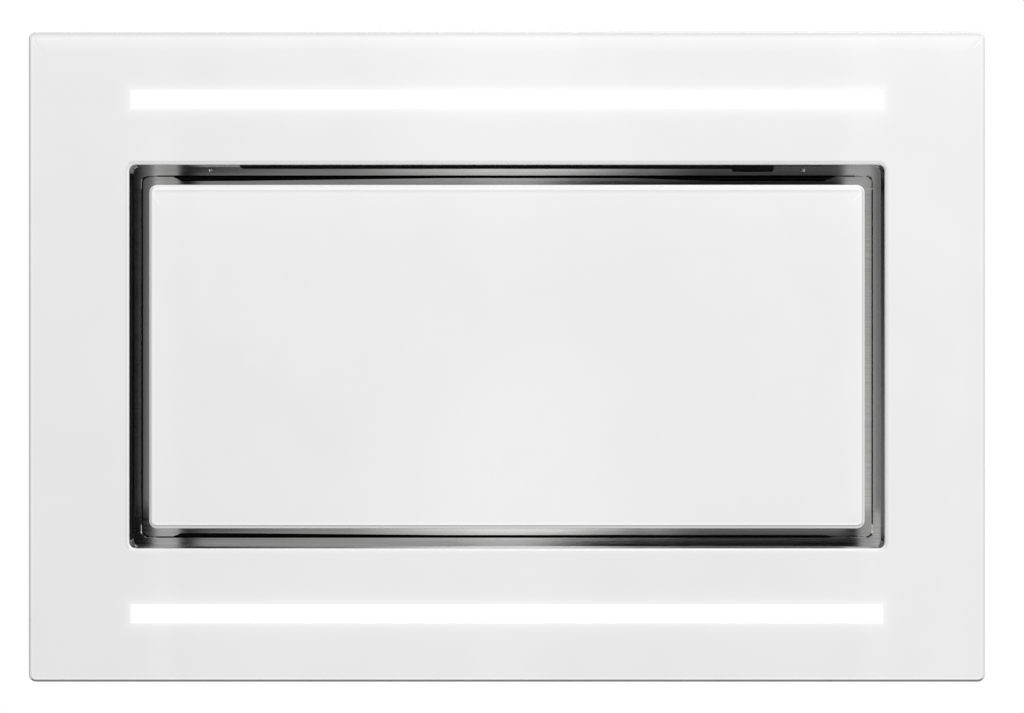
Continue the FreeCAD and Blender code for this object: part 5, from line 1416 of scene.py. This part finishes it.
    def _rivets(self, shop: Shop, surfaces: Surfaces) -> None:
        """Rivets in the front ledge and the filters' corners, and a screw in each hinge bracket.

        Args:
            shop: Where the finishes come from.
            surfaces: Finds the seats.
        """
        ledge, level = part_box("panel_glass")[0].y - self.rivet_setback, self.rivet_search_level
        spots = [Spot("recess_surround", Vector((side * self.rivet_place, ledge, level)), UP)
                 for side in (-1, 1)]
        for side in ("left", "right"):
            low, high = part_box(f"{side}_filter_frame")
            inset = self.frame_rivet_inset
            spots += [Spot(f"{side}_filter_frame", Vector((x, y, level)), UP)
                      for x in (low.x + inset, high.x - inset) for y in (low.y + inset, high.y - inset)]
        rivets = FastenerSet("recess_rivets", Head.RIVET, self.rivet_radius, self.rivet_height)
        rivets.build(shop, surfaces, spots, RIVET)
        low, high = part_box("hinge_brackets")
        middle, level = high.x - self.bracket_width / 2, high.z - self.screw_search_drop
        spots = [Spot("hinge_brackets", Vector((side * middle, (low.y + high.y) / 2, level)), UP)
                 for side in (-1, 1)]
        screws = FastenerSet("hinge_screws", Head.PAN_SCREW, self.screw_radius, self.screw_height)
        screws.build(shop, surfaces, spots)


@dataclass
class Casing:
    """The folded sheet box above the ceiling, with its hanger brackets."""

    flange_middle: float = 7.0 * MM
    top_pitch: float = 130.0 * MM
    top_steps: int = 3
    side_pitch: float = 110.0 * MM
    side_steps: int = 2
    rivet_levels: tuple[float, ...] = (25.0 * MM, 60.0 * MM, 95.0 * MM)
    rivet_search_reach: float = 400.0 * MM
    hanger_places: tuple[tuple[float, float], ...] = ((10.0 * MM, 12.0 * MM), (34.0 * MM, 12.0 * MM))
    hex_radius: float = 5.2 * MM
    hex_height: float = 3.4 * MM
    screw_radius: float = 3.6 * MM
    screw_height: float = 2.2 * MM
    rivet_radius: float = 3.0 * MM
    rivet_height: float = 1.3 * MM

    def build(self, shop: Shop, surfaces: Surfaces) -> None:
        """Dress the sheets and set the screws and rivets.

        Args:
            shop: Where the finishes come from.
            surfaces: Finds the seats of the fasteners.
        """
        for node in ("casing_front", "casing_rear", "casing_left", "casing_right", "casing_top",
                     "hanger_brackets"):
            shop.dress(node)
        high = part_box("casing_top")[1]
        line_x, line_y = high.x - self.flange_middle, high.y - self.flange_middle
        above = high.z + STAND_OFF
        spots = [Spot("casing_top", Vector((i * self.top_pitch, side * line_y, above)), DOWN)
                 for side in (-1, 1) for i in range(-self.top_steps, self.top_steps + 1)]
        spots += [Spot("casing_top", Vector((side * line_x, i * self.side_pitch, above)), DOWN)
                  for side in (-1, 1) for i in range(-self.side_steps, self.side_steps + 1)]
        screws = FastenerSet("casing_screws", Head.PAN_SCREW, self.screw_radius, self.screw_height)
        screws.build(shop, surfaces, spots)
        far = self.rivet_search_reach
        spots = [Spot(f"casing_{wall}", Vector((side * line_x, -toward.y * far, level)), toward)
                 for wall, toward in (("front", Axis.Y.value), ("rear", -Axis.Y.value))
                 for side in (-1, 1) for level in self.rivet_levels]
        rivets = FastenerSet("casing_rivets", Head.RIVET, self.rivet_radius, self.rivet_height)
        rivets.build(shop, surfaces, spots)
        low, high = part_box("hanger_brackets")
        spots = []
        for side_x in (-1, 1):
            for side_y in (-1, 1):
                for inset, up in self.hanger_places:
                    start = Vector((side_x * (high.x + STAND_OFF), side_y * (high.y - inset), low.z + up))
                    spots.append(Spot("hanger_brackets", start, -side_x * Axis.X.value))
        screws = FastenerSet("hanger_screws", Head.HEX_SCREW, self.hex_radius, self.hex_height)
        screws.build(shop, surfaces, spots)


@dataclass
class Blower:
    """The scroll with its motor and capacitor, and the outlet with its flaps."""

    rivet_count: int = 16
    rivet_inset: float = 6.0 * MM
    rivet_radius: float = 2.6 * MM
    rivet_height: float = 1.2 * MM
    rim_search_reach: float = 500.0 * MM
    ring_count: int = 8
    ring_inset: float = 5.0 * MM
    ring_search_drop: float = 1.0 * MM
    collar_screws: int = 8
    collar_inset: float = 3.0 * MM
    collar_head: float = 1.9 * MM
    collar_height: float = 1.2 * MM

    def build(self, shop: Shop, surfaces: Surfaces) -> None:
        """Dress the pieces and set the rivets and screws.

        Args:
            shop: Where the finishes come from.
            surfaces: Finds the seats of the fasteners.
        """
        for node in ("inlet_ring", "scroll_base", "scroll_wrap", "scroll_lid", "impeller", "rotor_cup",
                     "motor_shaft", "motor_mount", "motor_dampers", "motor_screws", "motor_bearings",
                     "motor_stator", "motor_cap", "run_capacitor", "capacitor_clip", "outlet_adapter",
                     "outlet_collar", "flap_rod", "left_flap", "right_flap"):
            shop.dress(node)
        low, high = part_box("inlet_ring")
        axis = (low + high) / 2
        spots = self._lid_spots(surfaces, axis) + self._ring_spots(axis, high.x - axis.x)
        rivets = FastenerSet("scroll_rivets", Head.RIVET, self.rivet_radius, self.rivet_height)
        rivets.build(shop, surfaces, spots)
        low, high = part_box("outlet_collar")
        reach = (high.y - low.y) / 2 - self.collar_inset
        spots = []
        for angle in full_turn(self.collar_screws, 0.5):
            start = Vector((high.x, (low.y + high.y) / 2 + reach * math.cos(angle),
                            (low.z + high.z) / 2 + reach * math.sin(angle)))
            spots.append(Spot("outlet_collar", start, -Axis.X.value))
        screws = FastenerSet("collar_screws", Head.PAN_SCREW, self.collar_head, self.collar_height)
        screws.build(shop, surfaces, spots)

    def _lid_spots(self, surfaces: Surfaces, axis: Vector) -> list[Spot]:
        """Places just inside the rim of the scroll's lid, all round except at the outlet.

        Args:
            surfaces: Finds the rim.
            axis: A point on the fan's axis.

        Returns:
            The places.
        """
        low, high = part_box("scroll_lid")
        spots = []
        for angle in full_turn(self.rivet_count):
            way = level_way(angle)
            outside = Vector((axis.x, axis.y, (low.z + high.z) / 2)) + self.rim_search_reach * way
            rim, _ = surfaces.landing("scroll_lid", outside, -way)
            seat = rim - self.rivet_inset * way
            if seat.x < high.x - 2 * self.rivet_inset:
                spots.append(Spot("scroll_lid", Vector((seat.x, seat.y, high.z + STAND_OFF)), DOWN))
        return spots

    def _ring_spots(self, axis: Vector, rim: float) -> list[Spot]:
        """Places round the flange of the inlet ring, which the scroll's base covers.

        Args:
            axis: A point on the fan's axis.
            rim: The radius of the ring's flange.

        Returns:
            The places.
        """
        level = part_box("scroll_base")[0].z - self.ring_search_drop
        spots = []
        for angle in full_turn(self.ring_count, 0.5):
            seat = axis + (rim - self.ring_inset) * level_way(angle)
            spots.append(Spot("inlet_ring", Vector((seat.x, seat.y, level)), DOWN))
        return spots


@dataclass
class Electrics:
    """The control box with its board, driver, terminals and gland."""

    screw_inset: float = 8.0 * MM
    screw_radius: float = 3.4 * MM
    screw_height: float = 1.8 * MM

    def build(self, shop: Shop, surfaces: Surfaces) -> None:
        """Dress the pieces and screw the lid down.

        Args:
            shop: Where the finishes come from.
            surfaces: Finds the seats of the screws.
        """
        for node in ("control_box", "control_lid", "control_board", "light_driver", "terminal_block",
                     "cable_gland"):
            shop.dress(node)
        low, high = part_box("control_lid")
        spots = [Spot("control_lid", Vector((x, y, high.z + STAND_OFF)), DOWN)
                 for x in (low.x + self.screw_inset, high.x - self.screw_inset)
                 for y in (low.y + self.screw_inset, high.y - self.screw_inset)]
        screws = FastenerSet("lid_screws", Head.PAN_SCREW, self.screw_radius, self.screw_height)
        screws.build(shop, surfaces, spots)


@dataclass(frozen=True)
class Lamp:
    """One soft studio lamp that looks at the hood."""

    name: str
    place: Vector
    size: tuple[float, float]
    power: float

    def build(self) -> None:
        """Hang the lamp."""
        light = bpy.data.lights.new(self.name, "AREA")
        light.shape = "RECTANGLE"
        light.size, light.size_y = self.size
        light.energy = self.power
        lamp = bpy.data.objects.new(self.name, light)
        lamp.location = self.place
        lamp.rotation_mode = "QUATERNION"
        lamp.rotation_quaternion = (-self.place).to_track_quat("-Z", "Y")
        bpy.context.scene.collection.objects.link(lamp)


@dataclass(frozen=True)
class Pane:
    """One pale stretch of the room below, which rises and falls across the room.

    It starts, is full, starts to fall and ends at four places along X, between two places along Y.
    """

    name: str
    start: float
    rise: float
    fall: float
    end: float
    strength: float
    near: float = -1.0
    far: float = 1.0

    EDGE = 2.0 * MM

    def light(self, w: Wiring, place: Sockets) -> Socket:
        """The pane's light at a place in the room.

        Args:
            w: The wiring of the room's material.
            place: The parts of the place.

        Returns:
            The light's strength.
        """
        rising = w.remap(place["X"], self.start, self.rise, 0.0, self.strength)
        across = w.math("MULTIPLY", rising, w.remap(place["X"], self.fall, self.end, 1.0, 0.0))
        past = w.remap(place["Y"], self.near - self.EDGE, self.near + self.EDGE, 0.0, 1.0)
        short = w.remap(place["Y"], self.far - self.EDGE, self.far + self.EDGE, 1.0, 0.0)
        lit = w.math("MULTIPLY", across, w.math("MULTIPLY", past, short))
        lit.node.label = self.name
        return lit


@dataclass
class Studio:
    """A white studio with soft lamps, a pale floor, a room to mirror and the photograph's camera."""

    # The photograph and the glass plate in it, in pixels.
    image_width: int = 1024
    image_height: int = 713
    plate_width: float = 956.5
    plate_centre: tuple[float, float] = (506.9, 356.6)

    # The sensor is in millimetres, as Blender takes it, and all other lengths are in metres.
    sensor: float = 36.0
    camera_distance: float = 6.5
    camera_end: float = 100.0
    fill: float = 0.585
    floor_level: float = -0.45
    floor_reach: float = 8.0
    floor_grey: float = 0.90
    floor_fade: tuple[float, float] = (0.8, 3.0)
    board_level: float = -1.0
    board_size: tuple[float, float] = (1.6, 1.3)
    room_dark: float = 0.004
    room_half: float = 0.25
    room_lift: tuple[float, float] = (0.85, 1.2)
    front_line: float = -0.1985
    rear_line: float = 0.1955
    middle_ease: float = 0.14

    WHITE = (1.0, 1.0, 1.0)
    LAMPS = (
        Lamp("key_lamp", Vector((2.6, -4.4, -3.4)), (6.0, 4.5), 336.0),
        Lamp("top_lamp", Vector((-1.6, -2.4, 4.2)), (3.0, 3.0), 120.0),
    )

    # The side panes show all round the slot. The upper ones show in the front ledge and the rear deck,
    # the lower ones in the front deck and the rear ledge.
    SIDES = (
        Pane("left door", -0.391, -0.385, -0.363, -0.357, 0.50),
        Pane("left jamb", -0.406, -0.394, -0.386, -0.374, 0.20, far=0.165),
        Pane("right door", 0.366, 0.372, 0.398, 0.404, 0.62, far=0.17),
        Pane("right post", 0.382, 0.388, 0.406, 0.412, 0.40, near=0.17),
        Pane("right wall", 0.399, 0.405, 0.495, 0.501, 0.20),
        Pane("bench", 0.142, 0.162, 0.362, 0.382, 0.06, near=-0.18, far=0.1955),
    )
    UPPER = (
        Pane("window", -0.196, -0.020, 0.028, 0.220, 1.08),
        Pane("pale wall", -0.370, -0.190, -0.170, -0.050, 0.29),
        Pane("table", 0.142, 0.162, 0.362, 0.382, 0.12),
    )
    LOWER = (
        Pane("low window", -0.060, -0.010, 0.015, 0.070, 0.13),
        Pane("low wall", -0.352, -0.330, 0.000, 0.110, 0.36),
    )

    def build(self) -> None:
        """Set up everything around the hood."""
        bpy.context.scene.view_settings.view_transform = "Standard"
        self._world()
        self._floor()
        self._board()
        for lamp in self.LAMPS:
            lamp.build()
        self._camera()

    def _world(self) -> None:
        """White to the eye and in reflections, and a plainer fill for soft light."""
        world = bpy.data.worlds.new("studio")
        bpy.context.scene.world = world
        w = emptied(world)
        path = w.add("ShaderNodeLightPath").outputs
        seen = w.math("MAXIMUM", w.math("MAXIMUM", path["Is Camera Ray"], path["Is Glossy Ray"]),
                      path["Is Transmission Ray"])
        fill, white = (
            w.add("ShaderNodeBackground", {"Color": opaque(self.WHITE), "Strength": strength})
            for strength in (self.fill, 1.0))
        mixed = w.add("ShaderNodeMixShader", {0: seen, 1: fill.outputs[0], 2: white.outputs[0]})
        w.add("ShaderNodeOutputWorld", {"Surface": mixed.outputs[0]})

    def _floor(self) -> None:
        """A pale floor that shows from above only, because the photograph is taken from under it."""
        floor = self._sheet("floor", self.floor_reach, self.floor_reach, self.floor_level)
        material = bpy.data.materials.new("pale_floor")
        w = emptied(material)
        grey = (self.floor_grey, self.floor_grey, self.floor_grey)
        pale = w.add("ShaderNodeBsdfDiffuse", {"Color": opaque(grey)})
        clear = w.add("ShaderNodeBsdfTransparent")
        above = w.math("SUBTRACT", 1.0, w.add("ShaderNodeNewGeometry").outputs["Backfacing"])
        seen = w.add("ShaderNodeLightPath").outputs["Is Camera Ray"]
        far = w.length(w.add("ShaderNodeTexCoord").outputs["Object"])
        near = w.remap(far, *self.floor_fade, 1.0, 0.0)
        share = w.math("MULTIPLY", w.math("MULTIPLY", above, seen), near)
        mixed = w.add("ShaderNodeMixShader", {0: share, 1: clear.outputs[0], 2: pale.outputs[0]})
        w.add("ShaderNodeOutputMaterial", {"Surface": mixed.outputs[0]})
        floor.data.materials.append(material)

    def _board(self) -> None:
        """The darker room below, which only the metal and the glass mirror."""
        board = self._sheet("room_board", *self.board_size, self.board_level)
        material = bpy.data.materials.new("room_below")
        w = emptied(material)
        place = w.parts(w.add("ShaderNodeTexCoord").outputs["Object"])
        light: object = self.room_dark
        for pane in self.SIDES:
            light = w.math("ADD", light, pane.light(w, place))
        upper = self._upper_share(w, place["Y"])
        lower = w.math("SUBTRACT", 1.0, upper)
        for panes, share in ((self.UPPER, upper), (self.LOWER, lower)):
            for pane in panes:
                light = w.math("ADD", light, w.math("MULTIPLY", pane.light(w, place), share))
        lift = w.remap(place["Y"], -self.room_half, self.room_half, *self.room_lift)
        seen = w.add("ShaderNodeEmission", {"Strength": w.math("MULTIPLY", light, lift)})
        w.add("ShaderNodeOutputMaterial", {"Surface": seen.outputs[0]})
        board.data.materials.append(material)
        board.visible_camera = board.visible_diffuse = board.visible_shadow = False

    def _upper_share(self, w: Wiring, y: Socket) -> Socket:
        """How much of the upper panes shows at a depth in the room.

        Args:
            w: The board's wiring.
            y: The depth in the room.

        Returns:
            1 where the front ledge and the rear deck look, 0 where the front deck and the rear ledge do.
        """
        edge = Pane.EDGE
        front = w.remap(y, self.front_line - edge, self.front_line + edge, 1.0, 0.0)
        rear = w.remap(y, self.rear_line - edge, self.rear_line + edge, 1.0, 0.0)
        inner = w.remap(y, -self.middle_ease, self.middle_ease, 0.0, 1.0)
        return w.math("ADD", front, w.math("MULTIPLY", inner, rear))

    @staticmethod
    def _sheet(name: str, wide: float, deep: float, level: float) -> bpy.types.Object:
        """A flat sheet that faces up.

        Args:
            name: The sheet's name.
            wide: Its size along X.
            deep: Its size along Y.
            level: Its height.

        Returns:
            The sheet.
        """
        x, y = wide / 2, deep / 2
        corners = [(-x, -y, level), (x, -y, level), (x, y, level), (-x, y, level)]
        mesh = bpy.data.meshes.new(name)
        mesh.from_pydata(corners, [], [(0, 1, 2, 3)])
        return piece_from(name, mesh)

    def _camera(self) -> None:
        """Straight below the glass, looking up, with the front edge at the top of the picture."""
        low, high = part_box("frame_glass")
        per_pixel = (high.x - low.x) / self.plate_width
        data = bpy.data.cameras.new("camera")
        data.sensor_width = self.sensor
        data.lens = self.sensor * self.camera_distance / (per_pixel * self.image_width)
        data.clip_end = self.camera_end
        camera = bpy.data.objects.new("camera", data)
        aside = (self.image_width / 2 - self.plate_centre[0]) * per_pixel
        below = (self.image_height / 2 - self.plate_centre[1]) * per_pixel
        camera.location = (aside, below, low.z - self.camera_distance)
        camera.rotation_euler = (math.pi, 0.0, 0.0)
        bpy.context.scene.collection.objects.link(camera)
        bpy.context.scene.camera = camera


def main() -> None:
    """Dress the hood piece by piece, then set up the studio."""
    logging.basicConfig(level=logging.INFO, format="%(message)s")
    shop = Shop()
    surfaces = Surfaces()
    GlassFront().build(shop)
    for assembly in (SwingPanel(), Recess(), Casing(), Blower(), Electrics()):
        assembly.build(shop, surfaces)
    Studio().build()


if __name__ == "__main__":
    main()
